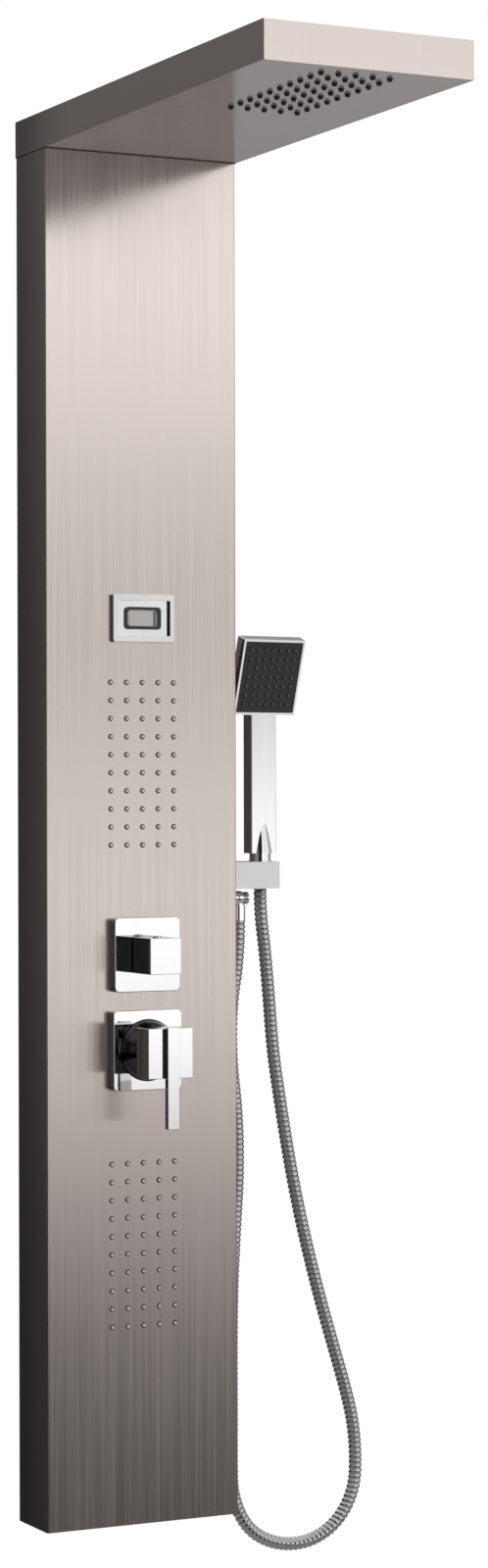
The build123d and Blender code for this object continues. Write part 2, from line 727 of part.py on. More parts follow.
def head_shell():
    """Folded box, open underneath, with the ledges that the underside plate is fixed to."""
    outer = block((-HEAD_SIDE, HEAD_SIDE), (HEAD_FRONT, 0), (COLUMN_HEIGHT, HEAD_TOP))
    outer = fillet(outer.edges().filter_by(Axis.Z), FOLD_RADIUS - SHEET / 2)
    inner_side = HEAD_SIDE - SHEET
    inner_front = HEAD_FRONT + SHEET
    shell = outer - block(
        (-inner_side, inner_side), (inner_front, -SHEET), (COLUMN_HEIGHT, HEAD_TOP - SHEET)
    )
    level = (HEAD_FLOOR, HEAD_FLOOR + SHEET)
    for side in (-1, 1):
        across = (side * inner_side, side * (inner_side - HEAD_LEDGE))
        shell += block(across, (inner_front, FRONT - SHEET), level)
    shell += block((-inner_side, inner_side), (inner_front, inner_front + HEAD_LEDGE), level)
    return shell


def head_underside_plate():
    """Perforated sheet between the head's walls, lying on the column's front edge."""
    inner_side = HEAD_SIDE - SHEET
    depth = (HEAD_FRONT + SHEET, FRONT + UNDERSIDE_BEARING)
    sheet = block((-inner_side, inner_side), depth, (COLUMN_HEIGHT, HEAD_FLOOR))
    middle = FRONT - RAIN_MIDDLE
    holes = [
        rod(UP, (x, middle + y, COLUMN_HEIGHT), SHEET, RAIN_BASE_RADIUS + NOZZLE_GAP)
        for x, y in field_points(*RAIN_FIELD)
    ]
    return sheet - holes


def gusset_stud_points():
    """Studs of one gusset, as (Y, height)."""
    middle = -GUSSET_SIDE_GAP - GUSSET_WIDTH / 2
    bar = HEAD_TOP - SHEET - GUSSET_HEIGHT / 2
    column = [(middle, COLUMN_HEIGHT - GUSSET_DROP * share) for share in COLUMN_STUD_SHARES]
    head = [(FRONT - GUSSET_ARM * share, bar) for share in HEAD_STUD_SHARES]
    return column + head


def gusset_wall(z):
    """Inner face that a gusset's stud stands on: the head's wall or the column's."""
    return HEAD_SIDE - SHEET if z > COLUMN_HEIGHT else INNER_SIDE


def head_gusset(side):
    """Angle plate inside one side wall, which carries the head from the column."""
    back = -GUSSET_SIDE_GAP
    bar = (HEAD_TOP - SHEET - GUSSET_HEIGHT, HEAD_TOP - SHEET)
    across = (side * INNER_SIDE, side * (INNER_SIDE - GUSSET_SHEET))
    gusset = block(across, (back - GUSSET_WIDTH, back), (COLUMN_HEIGHT - GUSSET_DROP, bar[1]))
    gusset += block(across, (FRONT - GUSSET_ARM, back), bar)
    for y, z in gusset_stud_points():
        start = (side * (INNER_SIDE - 2 * GUSSET_SHEET), y, z)
        axis = RIGHT if side > 0 else LEFT
        gusset -= rod(axis, start, 3 * GUSSET_SHEET, STUD_RADIUS + STUD_HOLE_GAP)
    return gusset


def stud_nuts():
    """Every weld stud with its nut: the chambers' and the gussets'."""
    studs = []
    clamped = PAD_SHEET + CHAMBER_WALL
    places = field_places()
    for name, field in (("rain", RAIN_FIELD), ("upper", JET_FIELD), ("lower", JET_FIELD)):
        for x, y in stud_points(field):
            studs.append(places[name].location * stud(UP, (x, y, 0), clamped))
    for side in (-1, 1):
        axis = LEFT if side > 0 else RIGHT
        for y, z in gusset_stud_points():
            wall = gusset_wall(z)
            thickness = wall - INNER_SIDE + GUSSET_SHEET
            studs.append(stud(axis, (side * wall, y, z), thickness))
    return Compound(children=studs)


# ---------------------------------------------------------------- temperature display

def display_bezel():
    """Chrome frame round the inner panel."""
    frame = plate(
        BEZEL_WIDTH, BEZEL_HEIGHT, BEZEL_CORNER, FRONT, BEZEL_THICKNESS, DISPLAY_HEIGHT
    )
    frame = chamfer(frame.faces().sort_by(Axis.Y)[0].edges(), BEZEL_CHAMFER)
    opening_width = PANEL_WIDTH + 2 * STUD_HOLE_GAP
    opening_height = PANEL_HEIGHT + 2 * STUD_HOLE_GAP
    return frame - plate(
        opening_width, opening_height, PANEL_CORNER, FRONT, BEZEL_THICKNESS, DISPLAY_HEIGHT
    )


def display_housing():
    """Case of the display, from its front panel to behind the sheet, with snap arms."""
    back = FRONT + DISPLAY_DEPTH
    depth = DISPLAY_DEPTH + PANEL_PROUD
    case = plate(PANEL_WIDTH, PANEL_HEIGHT, PANEL_CORNER, back, depth, DISPLAY_HEIGHT)
    case -= plate(
        PANEL_WIDTH - 2 * DISPLAY_WALL,
        PANEL_HEIGHT - 2 * DISPLAY_WALL,
        PANEL_INNER_CORNER,
        back,
        depth - DISPLAY_WALL,
        DISPLAY_HEIGHT,
    )
    for side in (-1, 1):
        edge = side * PANEL_WIDTH / 2
        case += block(
            (edge, edge + side * SNAP_ARM),
            (INNER_FRONT, INNER_FRONT + SNAP_ARM),
            (DISPLAY_HEIGHT - SNAP_ARM, DISPLAY_HEIGHT + SNAP_ARM),
        )
    return case


def display_window():
    """Black rounded ring on the panel, round the liquid crystal."""
    back = proud(PANEL_PROUD)
    ring = plate(
        WINDOW_WIDTH, WINDOW_HEIGHT, WINDOW_CORNER, back, WINDOW_PROUD, DISPLAY_HEIGHT
    )
    return ring - plate(
        WINDOW_WIDTH - 2 * WINDOW_RING,
        WINDOW_HEIGHT - 2 * WINDOW_RING,
        WINDOW_CORNER - WINDOW_RING / 2,
        back,
        WINDOW_PROUD,
        DISPLAY_HEIGHT,
    )


def display_lcd():
    """Blank liquid crystal inside the ring."""
    back = proud(PANEL_PROUD)
    return plate(LCD_WIDTH, LCD_HEIGHT, LCD_CORNER, back, LCD_PROUD, DISPLAY_HEIGHT)


def link_middle():
    """Height of the middle of the pipe between mixer and diverter."""
    return (mixer_port() + diverter_port()) / 2


def temperature_probe():
    """Probe in the pipe between mixer and diverter, with its lead from the display."""
    case_base = DISPLAY_HEIGHT - PANEL_HEIGHT / 2
    behind = FRONT + DISPLAY_DEPTH + LEAD_BEHIND
    exit_y = FRONT + DISPLAY_DEPTH * LEAD_EXIT_SHARE
    tip_end = WATERWAY + PROBE_TIP_GAP
    points = [
        (LEAD_EXIT_X, exit_y, case_base),
        (LEAD_EXIT_X, exit_y, case_base - LEAD_STRAIGHT),
        (LEAD_TOP_X, behind, case_base - LEAD_SHIFT),
        (LEAD_RUN_X, behind, DIVERTER_HEIGHT + LEAD_ABOVE_DIVERTER),
        (LEAD_BESIDE_DIVERTER_X, behind, DIVERTER_HEIGHT),
        (LEAD_LOOP_X, PORT_Y + LEAD_LOOP_BACK, link_middle() + LEAD_LOOP_RISE),
        (LEAD_PROBE_X, PORT_Y, link_middle()),
        (tip_end + PROBE_TIP_LENGTH, PORT_Y, link_middle()),
    ]
    lead = swept(points, PROBE_LEAD_RADIUS, LEAD_BEND)
    tip_start = (tip_end, PORT_Y, link_middle())
    return lead + rod(RIGHT, tip_start, PROBE_TIP_LENGTH, PROBE_TIP_RADIUS)


# ---------------------------------------------------------------- escutcheons

def escutcheon(width, height, opening, z):
    """Hollow plate behind a control, with a round opening."""
    face = plate(width, height, ESCUTCHEON_CORNER, FRONT, ESCUTCHEON_THICKNESS, z)
    face = fillet(face.faces().sort_by(Axis.Y)[0].edges(), ESCUTCHEON_EDGE)
    face -= plate(
        width - 2 * ESCUTCHEON_WALL,
        height - 2 * ESCUTCHEON_WALL,
        ESCUTCHEON_CORNER - ESCUTCHEON_WALL,
        FRONT,
        ESCUTCHEON_THICKNESS - ESCUTCHEON_WALL,
        z,
    )
    return face - rod(OUT, (0, FRONT, z), ESCUTCHEON_THICKNESS, opening)


# ---------------------------------------------------------------- diverter

def diverter_port():
    """Height of the diverter's lower port face."""
    return DIVERTER_HEIGHT - DIVERTER_BARREL_RADIUS - TAIL_COLLAR


def port_direction(angle):
    """Unit direction of a port, in degrees from the right, in the panel's plane."""
    return (math.cos(math.radians(angle)), 0.0, math.sin(math.radians(angle)))


def port_start(angle):
    """Where a port's collar leaves the diverter's barrel."""
    direction = Vector(*port_direction(angle))
    return tuple(Vector(0, PORT_Y, DIVERTER_HEIGHT) + direction * DIVERTER_BARREL_RADIUS)


RAIN_PORT = 90.0
HANDSET_PORT = 0.0
UPPER_PORT = 135.0
LOWER_PORT = 180.0
OUTLET_PORTS = (RAIN_PORT, HANDSET_PORT, UPPER_PORT, LOWER_PORT)


def diverter_body():
    """Brass body: barrel with five ports behind the sheet, threaded neck and boss in front."""
    axis = (0, FRONT + DIVERTER_BARREL_BACK, DIVERTER_HEIGHT)
    body = rod(OUT, axis, DIVERTER_BARREL_BACK - SHEET, DIVERTER_BARREL_RADIUS)
    body += rod(OUT, axis, DIVERTER_BARREL_BACK + DIVERTER_NECK_PROUD, DIVERTER_NECK_RADIUS)
    body += rod(OUT, axis, DIVERTER_BARREL_BACK + DIVERTER_BOSS_PROUD, DIVERTER_BOSS_RADIUS)
    centre = (0, PORT_Y, DIVERTER_HEIGHT)
    body += rod(DOWN, centre, DIVERTER_HEIGHT - diverter_port(), TAIL_COLLAR_RADIUS)
    for angle in OUTLET_PORTS:
        body += tail(port_direction(angle), port_start(angle))
    plug_start = (0, FRONT + PLUG_BACK, DIVERTER_HEIGHT)
    body -= rod(OUT, plug_start, PLUG_BACK + DIVERTER_BOSS_PROUD, PLUG_RADIUS + FIT)
    body -= rod(DOWN, centre, DIVERTER_HEIGHT - diverter_port(), WATERWAY)
    for angle in OUTLET_PORTS:
        body -= tail_bore(port_direction(angle), port_start(angle), DIVERTER_BARREL_RADIUS)
    return body


def diverter_locknut():
    """Ring nut that clamps the sheet against the barrel."""
    start = (0, FRONT, DIVERTER_HEIGHT)
    ring = hexagon(OUT, start, LOCKNUT_THICKNESS, LOCKNUT_RADIUS)
    return ring - rod(OUT, start, LOCKNUT_THICKNESS, DIVERTER_NECK_RADIUS + FIT)


def diverter_spindle():
    """Turning plug with its water passage, and the spindle that carries the knob."""
    back = PLUG_BACK - PLUG_FLOOR_GAP
    start = (0, FRONT + back, DIVERTER_HEIGHT)
    plug_length = back + DIVERTER_BOSS_PROUD - PLUG_FACE_GAP
    spindle = rod(OUT, start, plug_length, PLUG_RADIUS)
    spindle += rod(OUT, start, back + SPINDLE_PROUD, SPINDLE_RADIUS)
    middle = (0, PORT_Y, DIVERTER_HEIGHT)
    spindle -= rod(UP, middle, 2 * PLUG_RADIUS, WATERWAY)
    return spindle - rod(RIGHT, middle, 2 * PLUG_RADIUS, WATERWAY)


def diverter_knob():
    """Square hollow knob with a hub on the spindle and a screw hole in its top."""
    depth = KNOB_FRONT - KNOB_BACK
    back = proud(KNOB_BACK)
    knob = plate(KNOB_WIDTH, KNOB_HEIGHT, CAST_CORNER, back, depth, DIVERTER_HEIGHT)
    knob = fillet(knob.faces().sort_by(Axis.Y)[0].edges(), CAST_EDGE)
    knob -= plate(
        KNOB_WIDTH - 2 * KNOB_WALL,
        KNOB_HEIGHT - 2 * KNOB_WALL,
        CAST_INNER_CORNER,
        back,
        depth - KNOB_WALL,
        DIVERTER_HEIGHT,
    )
    knob += rod(OUT, (0, back, DIVERTER_HEIGHT), depth - KNOB_WALL, KNOB_HUB_RADIUS)
    bore_length = SPINDLE_PROUD - KNOB_BACK
    knob -= rod(OUT, (0, back, DIVERTER_HEIGHT), bore_length, SPINDLE_RADIUS + FIT)
    axis = (0, proud(KNOB_SCREW_DEPTH), DIVERTER_HEIGHT)
    knob -= rod(UP, axis, KNOB_HEIGHT, SET_SCREW_RADIUS + FIT)
    plug_seat = (0, proud(KNOB_SCREW_DEPTH), DIVERTER_HEIGHT + KNOB_HEIGHT / 2 - KNOB_WALL / 2)
    return knob - rod(UP, plug_seat, KNOB_WALL, KNOB_PLUG_RADIUS + FIT)


def knob_set_screw():
    """Grub screw that holds the knob on its spindle."""
    start = (0, proud(KNOB_SCREW_DEPTH), DIVERTER_HEIGHT + SPINDLE_RADIUS)
    length = KNOB_HUB_RADIUS - SPINDLE_RADIUS + SET_SCREW_PROUD
    screw = rod(UP, start, length, SET_SCREW_RADIUS)
    socket = (start[0], start[1], start[2] + length - SET_SCREW_SOCKET_DEPTH)
    return screw - hexagon(UP, socket, 2 * SET_SCREW_SOCKET_DEPTH, SET_SCREW_SOCKET)


def knob_plug():
    """Domed cap over the set screw, in the knob's top."""
    seat = DIVERTER_HEIGHT + KNOB_HEIGHT / 2 - KNOB_WALL / 2
    top = DIVERTER_HEIGHT + KNOB_HEIGHT / 2 + KNOB_PLUG_RISE
    cap = rod(UP, (0, proud(KNOB_SCREW_DEPTH), seat), top - seat, KNOB_PLUG_RADIUS)
    return fillet(cap.edges().sort_by(Axis.Z)[-1], KNOB_PLUG_DOME)


# ---------------------------------------------------------------- mixer

def mixer_port():
    """Height of the mixer's upper port face."""
    return MIXER_HEIGHT + MIXER_BARREL_RADIUS + TAIL_COLLAR


def mixer_point(distance):
    """Point on the mixer's axis, this far in front of the column's face."""
    return (0, proud(distance), MIXER_HEIGHT)


def mixer_body():
    """Brass body: cup round the ball, barrel with the cartridge seat, arms to the inlets."""
    cup_bore = MIXER_CUP_RADIUS - MIXER_CUP_WALL
    floor = -MIXER_CUP_FLOOR
    body = rod(
        OUT, mixer_point(-MIXER_BARREL_BACK), MIXER_BARREL_BACK - SHEET, MIXER_BARREL_RADIUS
    )
    flange_back = -MIXER_CUP_FLOOR - MIXER_CUP_WALL
    body += rod(OUT, mixer_point(flange_back), -flange_back - SHEET, MIXER_FLANGE_RADIUS)
    body += rod(OUT, mixer_point(flange_back), MIXER_CUP_PROUD - flange_back, MIXER_CUP_RADIUS)
    centre = (0, PORT_Y, MIXER_HEIGHT)
    body += rod(UP, centre, mixer_port() - MIXER_HEIGHT, TAIL_COLLAR_RADIUS)
    drop_top = MIXER_HEIGHT + INLET_DROP_RADIUS
    for side in (-1, 1):
        x = side * INLET_SPACING / 2
        body += rod(RIGHT if side > 0 else LEFT, centre, INLET_SPACING / 2, INLET_ARM_RADIUS)
        body += rod(DOWN, (x, PORT_Y, drop_top), INLET_DROP_RADIUS + INLET_DROP, INLET_DROP_RADIUS)
    body -= rod(OUT, mixer_point(floor), MIXER_CUP_PROUD - floor, cup_bore)
    body -= rod(
        OUT, mixer_point(-CARTRIDGE_BACK), CARTRIDGE_BACK + floor, CARTRIDGE_RADIUS + FIT
    )
    body -= rod(UP, centre, mixer_port() - MIXER_HEIGHT, WATERWAY)
    for side in (-1, 1):
        x = side * INLET_SPACING / 2
        axis = RIGHT if side > 0 else LEFT
        body -= rod(axis, centre, INLET_SPACING / 2, WATERWAY)
        body -= rod(DOWN, (x, PORT_Y, MIXER_HEIGHT), INLET_DROP, INLET_BORE)
    return body


def mixer_ring_nut():
    """Ring nut in front of the sheet, hidden by the plate."""
    start = mixer_point(0)
    ring = rod(OUT, start, RING_NUT_THICKNESS, RING_NUT_RADIUS)
    return ring - rod(OUT, start, RING_NUT_THICKNESS, MIXER_CUP_RADIUS + FIT)


def mixer_cartridge():
    """Ceramic cartridge in its seat, bored for the turning carrier."""
    base = rod(
        OUT, mixer_point(-CARTRIDGE_BACK), CARTRIDGE_BACK - MIXER_CUP_FLOOR, CARTRIDGE_RADIUS
    )
    front = rod(
        OUT, mixer_point(-CARTRIDGE_BACK), CARTRIDGE_BACK + CARTRIDGE_FRONT, CARTRIDGE_BODY_RADIUS
    )
    floor = CARRIER_BACK - CARRIER_GAP
    bore = rod(OUT, mixer_point(floor), CARTRIDGE_FRONT - floor, CARRIER_RADIUS + FIT)
    return base + front - bore


def cartridge_nut():
    """Threaded ring that holds the cartridge down."""
    start = mixer_point(-MIXER_CUP_FLOOR)
    length = MIXER_CUP_FLOOR + CARTRIDGE_NUT_FRONT
    ring = rod(OUT, start, length, CARTRIDGE_NUT_RADIUS)
    return ring - rod(OUT, start, length, CARTRIDGE_BODY_RADIUS + FIT)


def mixer_carrier():
    """Turning part of the cartridge: a slotted boss that holds the stem's pin."""
    length = CARRIER_FRONT - CARRIER_BACK
    carrier = rod(OUT, mixer_point(CARRIER_BACK), length, CARRIER_RADIUS)
    half_slot = STEM_SIDE / 2 + STEM_GAP
    slot = (proud(CARRIER_FRONT), proud(STEM_BACK - STEM_SWING_GAP))
    above = (MIXER_HEIGHT - CARRIER_RADIUS, MIXER_HEIGHT + CARRIER_RADIUS)
    carrier -= block((-half_slot, half_slot), slot, above)
    pin_start = (-CARRIER_RADIUS, PIVOT_Y, MIXER_HEIGHT)
    return carrier - rod(RIGHT, pin_start, 2 * CARRIER_RADIUS, PIN_RADIUS)


def carrier_pin():
    """Pin that the stem tilts on."""
    half = CARRIER_RADIUS - PIN_END_GAP
    return rod(RIGHT, (-half, PIVOT_Y, MIXER_HEIGHT), 2 * half, PIN_RADIUS)


def mixer_stem():
    """Square stem from the pin to the block."""
    half = STEM_SIDE / 2
    depth = (proud(STEM_FRONT), proud(STEM_BACK))
    stem = block((-half, half), depth, (MIXER_HEIGHT - half, MIXER_HEIGHT + half))
    hole = rod(RIGHT, (-STEM_SIDE, PIVOT_Y, MIXER_HEIGHT), 2 * STEM_SIDE, PIN_RADIUS + FIT)
    return stem - hole


def mixer_ball():
    """Round skirt that closes the opening in the plate and moves with the lever."""
    ball = Pos(0, PIVOT_Y, MIXER_HEIGHT) * Sphere(BALL_RADIUS)
    ball -= Pos(0, PIVOT_Y, MIXER_HEIGHT) * Sphere(BALL_RADIUS - BALL_WALL)
    reach = 2 * BALL_RADIUS
    behind = block((-reach, reach), (proud(BALL_RIM), proud(BALL_RIM) + reach),
                   (MIXER_HEIGHT - reach, MIXER_HEIGHT + reach))
    half = STEM_SIDE / 2 + FIT
    stem_hole = block((-half, half), (PIVOT_Y - reach, PIVOT_Y),
                      (MIXER_HEIGHT - half, MIXER_HEIGHT + half))
    return ball - behind - stem_hole


def mixer_block():
    """Square block of the handle, hollow behind, with a socket for the stem."""
    depth = BLOCK_FRONT - BLOCK_BACK
    back = proud(BLOCK_BACK)
    solid = plate(BLOCK_WIDTH, BLOCK_HEIGHT, CAST_CORNER, back, depth, MIXER_HEIGHT)
    solid = fillet(solid.faces().sort_by(Axis.Y)[0].edges(), CAST_EDGE)
    solid -= plate(
        BLOCK_WIDTH - 2 * BLOCK_WALL,
        BLOCK_HEIGHT - 2 * BLOCK_WALL,
        CAST_INNER_CORNER,
        back,
        depth - BLOCK_WALL,
        MIXER_HEIGHT,
    )
    socket_back = PIVOT_Y - BALL_RADIUS - BALL_GAP
    socket_length = socket_back - proud(BLOCK_FRONT - BLOCK_WALL)
    solid += plate(
        SOCKET_SIDE, SOCKET_SIDE, SOCKET_CORNER, socket_back, socket_length, MIXER_HEIGHT
    )
    half = STEM_SIDE / 2 + FIT
    across = (MIXER_HEIGHT - half, MIXER_HEIGHT + half)
    solid -= block((-half, half), (proud(STEM_FRONT), back), across)
    screw = (0, proud(BLOCK_FRONT - 2 * BLOCK_WALL), MIXER_HEIGHT + LEVER_SCREW_OFFSET)
    return solid - rod(OUT, screw, 3 * BLOCK_WALL, LEVER_SCREW_RADIUS + FIT)


def mixer_lever():
    """Flat bar on the block's face."""
    top = MIXER_HEIGHT + BLOCK_HEIGHT / 2 + LEVER_ABOVE_BLOCK
    back = proud(BLOCK_FRONT)
    middle = top - LEVER_LENGTH / 2
    bar = plate(LEVER_WIDTH, LEVER_LENGTH, LEVER_CORNER, back, LEVER_THICKNESS, middle)
    bar = fillet(bar.faces().sort_by(Axis.Y)[0].edges(), LEVER_EDGE)
    screw = (0, back, MIXER_HEIGHT + LEVER_SCREW_OFFSET)
    return bar - rod(OUT, screw, LEVER_SCREW_DEPTH, LEVER_SCREW_RADIUS + FIT)


def lever_screw():
    """Screw from inside the block into the lever."""
    head = (0, proud(BLOCK_FRONT - BLOCK_WALL), MIXER_HEIGHT + LEVER_SCREW_OFFSET)
    screw = rod(OUT, head, BLOCK_WALL + LEVER_SCREW_DEPTH, LEVER_SCREW_RADIUS)
    return screw + rod(IN, head, LEVER_SCREW_HEAD_HEIGHT, LEVER_SCREW_HEAD)


def supply_inlet(side):
    """Threaded tail for a supply hose, with its hexagon and a check valve's ledge."""
    top = (side * INLET_SPACING / 2, PORT_Y, MIXER_HEIGHT - INLET_DROP)
    inlet = hexagon(DOWN, top, INLET_HEX, INLET_HEX_RADIUS)
    inlet += rod(DOWN, top, INLET_HEX + INLET_THREAD_LENGTH, INLET_THREAD_RADIUS)
    inlet -= rod(DOWN, top, INLET_HEX + INLET_THREAD_LENGTH, INLET_BORE)
    valve = (top[0], top[1], top[2] - INLET_HEX)
    ledge = rod(DOWN, valve, VALVE_LEDGE, INLET_BORE)
    return inlet + (ledge - rod(DOWN, valve, VALVE_LEDGE, VALVE_BORE))


# ---------------------------------------------------------------- inner water ways

def mixer_link_pipe():
    """Short pipe from the mixer up to the diverter, bored for the temperature probe."""
    length = diverter_port() - mixer_port()
    start = (0, PORT_Y, mixer_port())
    pipe = rod(UP, start, length, TAIL_COLLAR_RADIUS + LINK_WALL)
    boss = (0, PORT_Y, link_middle())
    boss_length = TAIL_COLLAR_RADIUS + LINK_BOSS_LENGTH
    pipe += rod(RIGHT, boss, boss_length, PROBE_TIP_RADIUS + LINK_BOSS_WALL)
    pipe -= rod(UP, start, length, WATERWAY)
    return pipe - rod(RIGHT, boss, 2 * boss_length, PROBE_TIP_RADIUS + FIT)


def rain_riser_hose():
    """From the diverter up the column and forward to the rain chamber."""
    start = hose_start(UP, port_start(RAIN_PORT))
    rear = INNER_FRONT + PAD_SHEET + JET_CHAMBER_DEPTH + HOSE_RADIUS + RISER_GAP
    end = chamber_tail(field_places()["rain"], RAIN_FIELD, RAIN_CHAMBER_DEPTH, 0.0)
    points = [
        start,
        (0, PORT_Y, start[2] + RISER_STRAIGHT),
        (0, rear, start[2] + RISER_SHIFT),
        (0, rear, end[2]),
        end,
    ]
    return hose(points, RISER_BEND)


def upper_jet_hose():
    """From the diverter to the upper jets' chamber."""
    start = hose_start(port_direction(UPPER_PORT), port_start(UPPER_PORT))
    end = chamber_tail(field_places()["upper"], JET_FIELD, JET_CHAMBER_DEPTH, UPPER_TAIL_X)
    run = (abs(UPPER_TAIL_X) - abs(start[0])) * math.sqrt(2)
    corner = Vector(*start) + Vector(*port_direction(UPPER_PORT)) * run
    straight = (end[0], end[1], end[2] - UPPER_HOSE_STRAIGHT)
    return hose([start, tuple(corner), straight, end], JET_HOSE_BEND)


def lower_jet_hose():
    """From the diverter, behind the mixer, down to the lower jets' chamber."""
    start = hose_start(LEFT, port_start(LOWER_PORT))
    end = chamber_tail(field_places()["lower"], JET_FIELD, JET_CHAMBER_DEPTH, -LOWER_TAIL_X)
    behind = FRONT + MIXER_BARREL_BACK + HOSE_RADIUS + LOWER_HOSE_GAP
    points = [
        start,
        (start[0] - LOWER_HOSE_REACH, PORT_Y, DIVERTER_HEIGHT),
        (-LOWER_HOSE_SIDE, behind, DIVERTER_HEIGHT - LOWER_HOSE_FALL),
        (-LOWER_HOSE_INNER, behind, MIXER_HEIGHT - LOWER_HOSE_PASS),
        (end[0], end[1], end[2] + LOWER_HOSE_STRAIGHT),
        end,
    ]
    return hose(points, LOWER_HOSE_BEND)


def outlet_tail():
    """Where the hand shower's inner hose meets the outlet, inside the column."""
    return (INNER_SIDE - OUTLET_THREAD_RADIUS - TAIL_COLLAR, AXIS_Y, OUTLET_HEIGHT)


def handset_feed_hose():
    """From the diverter to the outlet in the right side wall."""
    start = hose_start(RIGHT, port_start(HANDSET_PORT))
    end = outlet_tail()
    points = [
        start,
        (start[0] + FEED_REACH, PORT_Y, DIVERTER_HEIGHT),
        (end[0] - FEED_END, end[1], end[2]),
        end,
    ]
    return hose(points, JET_HOSE_BEND)


# ---------------------------------------------------------------- hose outlet

def outlet_elbow():
    """Elbow through the side wall: inner tail, thread, flange, ball and downward neck."""
    axis_point = (INNER_SIDE, AXIS_Y, OUTLET_HEIGHT)
    tail_end = outlet_tail()
    elbow = rod(LEFT, axis_point, INNER_SIDE - tail_end[0], OUTLET_THREAD_RADIUS)
    elbow += rod(LEFT, tail_end, TAIL_LENGTH, TAIL_RADIUS)
    elbow += rod(RIGHT, axis_point, OUTLET_X - INNER_SIDE, OUTLET_THREAD_RADIUS)
    elbow += rod(RIGHT, (SIDE, AXIS_Y, OUTLET_HEIGHT), OUTLET_FLANGE, OUTLET_FLANGE_RADIUS)
    centre = (OUTLET_X, AXIS_Y, OUTLET_HEIGHT)
    elbow += Pos(*centre) * Sphere(OUTLET_BALL_RADIUS)
    elbow += rod(RIGHT, centre, OUTLET_CAP_REACH, OUTLET_CAP_NECK)
    cap_start = (OUTLET_X + OUTLET_CAP_REACH - OUTLET_CAP_THICKNESS, AXIS_Y, OUTLET_HEIGHT)
    cap = rod(RIGHT, cap_start, OUTLET_CAP_THICKNESS, OUTLET_CAP_RADIUS)
    elbow += fillet(cap.edges().filter_by(GeomType.CIRCLE), OUTLET_CAP_EDGE)
    neck_length = OUTLET_NUT_TOP + OUTLET_NECK_IN_NUT
    elbow += rod(DOWN, centre, neck_length, OUTLET_NECK_RADIUS)
    bore_start = (tail_end[0] - TAIL_LENGTH, AXIS_Y, OUTLET_HEIGHT)
    elbow -= rod(RIGHT, bore_start, OUTLET_X - bore_start[0], WATERWAY)
    return elbow - rod(DOWN, centre, neck_length, WATERWAY)


def outlet_locknut():
    """Nut on the elbow's thread, inside the side wall."""
    start = (INNER_SIDE, AXIS_Y, OUTLET_HEIGHT)
    across = OUTLET_FLANGE_RADIUS + OUTLET_LOCKNUT_WALL
    nut = hexagon(LEFT, start, OUTLET_LOCKNUT_THICKNESS, across)
    return nut - rod(LEFT, start, OUTLET_LOCKNUT_THICKNESS, OUTLET_THREAD_RADIUS + FIT)


def hose_outlet_nut():
    """Slim crimped nut that joins the hose to the outlet's neck."""
    top = OUTLET_HEIGHT - OUTLET_NUT_TOP
    start = (OUTLET_X, AXIS_Y, top)
    nut = rod(DOWN, start, OUTLET_NUT_LENGTH, OUTLET_NUT_RADIUS)
    nut -= rod(DOWN, start, OUTLET_NUT_SEAT, OUTLET_NECK_RADIUS + FIT)
    return nut - rod(DOWN, start, OUTLET_NUT_LENGTH, WATERWAY)


# ---------------------------------------------------------------- shower hose

def hose_points():
    return [(x, AXIS_Y, z) for x, z in HOSE_ROUTE]


def shower_hose():
    """Outside of the flexible metal hose."""
    return swept(hose_points(), SHOWER_HOSE_RADIUS)


def nut_base():
    """Height of the cone nut's lower end."""
    return HOLDER_TOP + NUT_ABOVE_HOLDER - NUT_LENGTH


def hose_ferrule():
    """Ferrule crimped to the hose's end; the cone nut turns on it."""
    base = HOLDER_BASE - FERRULE_BELOW_HOLDER
    flange = nut_base() + NUT_FLOOR + SEAT_GAP
    top = flange + FERRULE_FLANGE
    ferrule = rod(UP, (AXIS_X, AXIS_Y, base), top - base, FERRULE_RADIUS)
    ferrule += rod(UP, (AXIS_X, AXIS_Y, flange), FERRULE_FLANGE, FERRULE_FLANGE_RADIUS)
    return ferrule - rod(UP, (AXIS_X, AXIS_Y, base), top - base, FERRULE_BORE)


def cone_radius(z, gap=0.0):
    """Radius of the nut's cone at a height, with a gap for its seat."""
    share = (z - nut_base()) / NUT_LENGTH
    return NUT_BASE_RADIUS + (NUT_TOP_RADIUS - NUT_BASE_RADIUS) * share + gap


def hose_cone_nut():
    """Conical nut that sits in the holder and screws on the hand shower."""
    base = (AXIS_X, AXIS_Y, nut_base())
    nut = rod(UP, base, NUT_LENGTH, NUT_BASE_RADIUS, NUT_TOP_RADIUS)
    nut -= rod(UP, base, NUT_FLOOR, FERRULE_RADIUS + FIT)
    inner = (AXIS_X, AXIS_Y, nut_base() + NUT_FLOOR)
    neck_end = HOLDER_TOP + NUT_ABOVE_HOLDER - NECK_IN_NUT
    nut -= rod(UP, inner, neck_end - inner[2], FERRULE_FLANGE_RADIUS + SEAT_GAP)
    thread = (AXIS_X, AXIS_Y, neck_end)
    return nut - rod(UP, thread, NECK_IN_NUT, NECK_RADIUS + FIT)


# ---------------------------------------------------------------- holder

def holder_screw_points():
    """The two holder screws, as (Y, height)."""
    middle = HOLDER_BASE + HOLDER_HEIGHT / 2
    return [(AXIS_Y + side * HOLDER_SCREW_SPACING / 2, middle) for side in (-1, 1)]


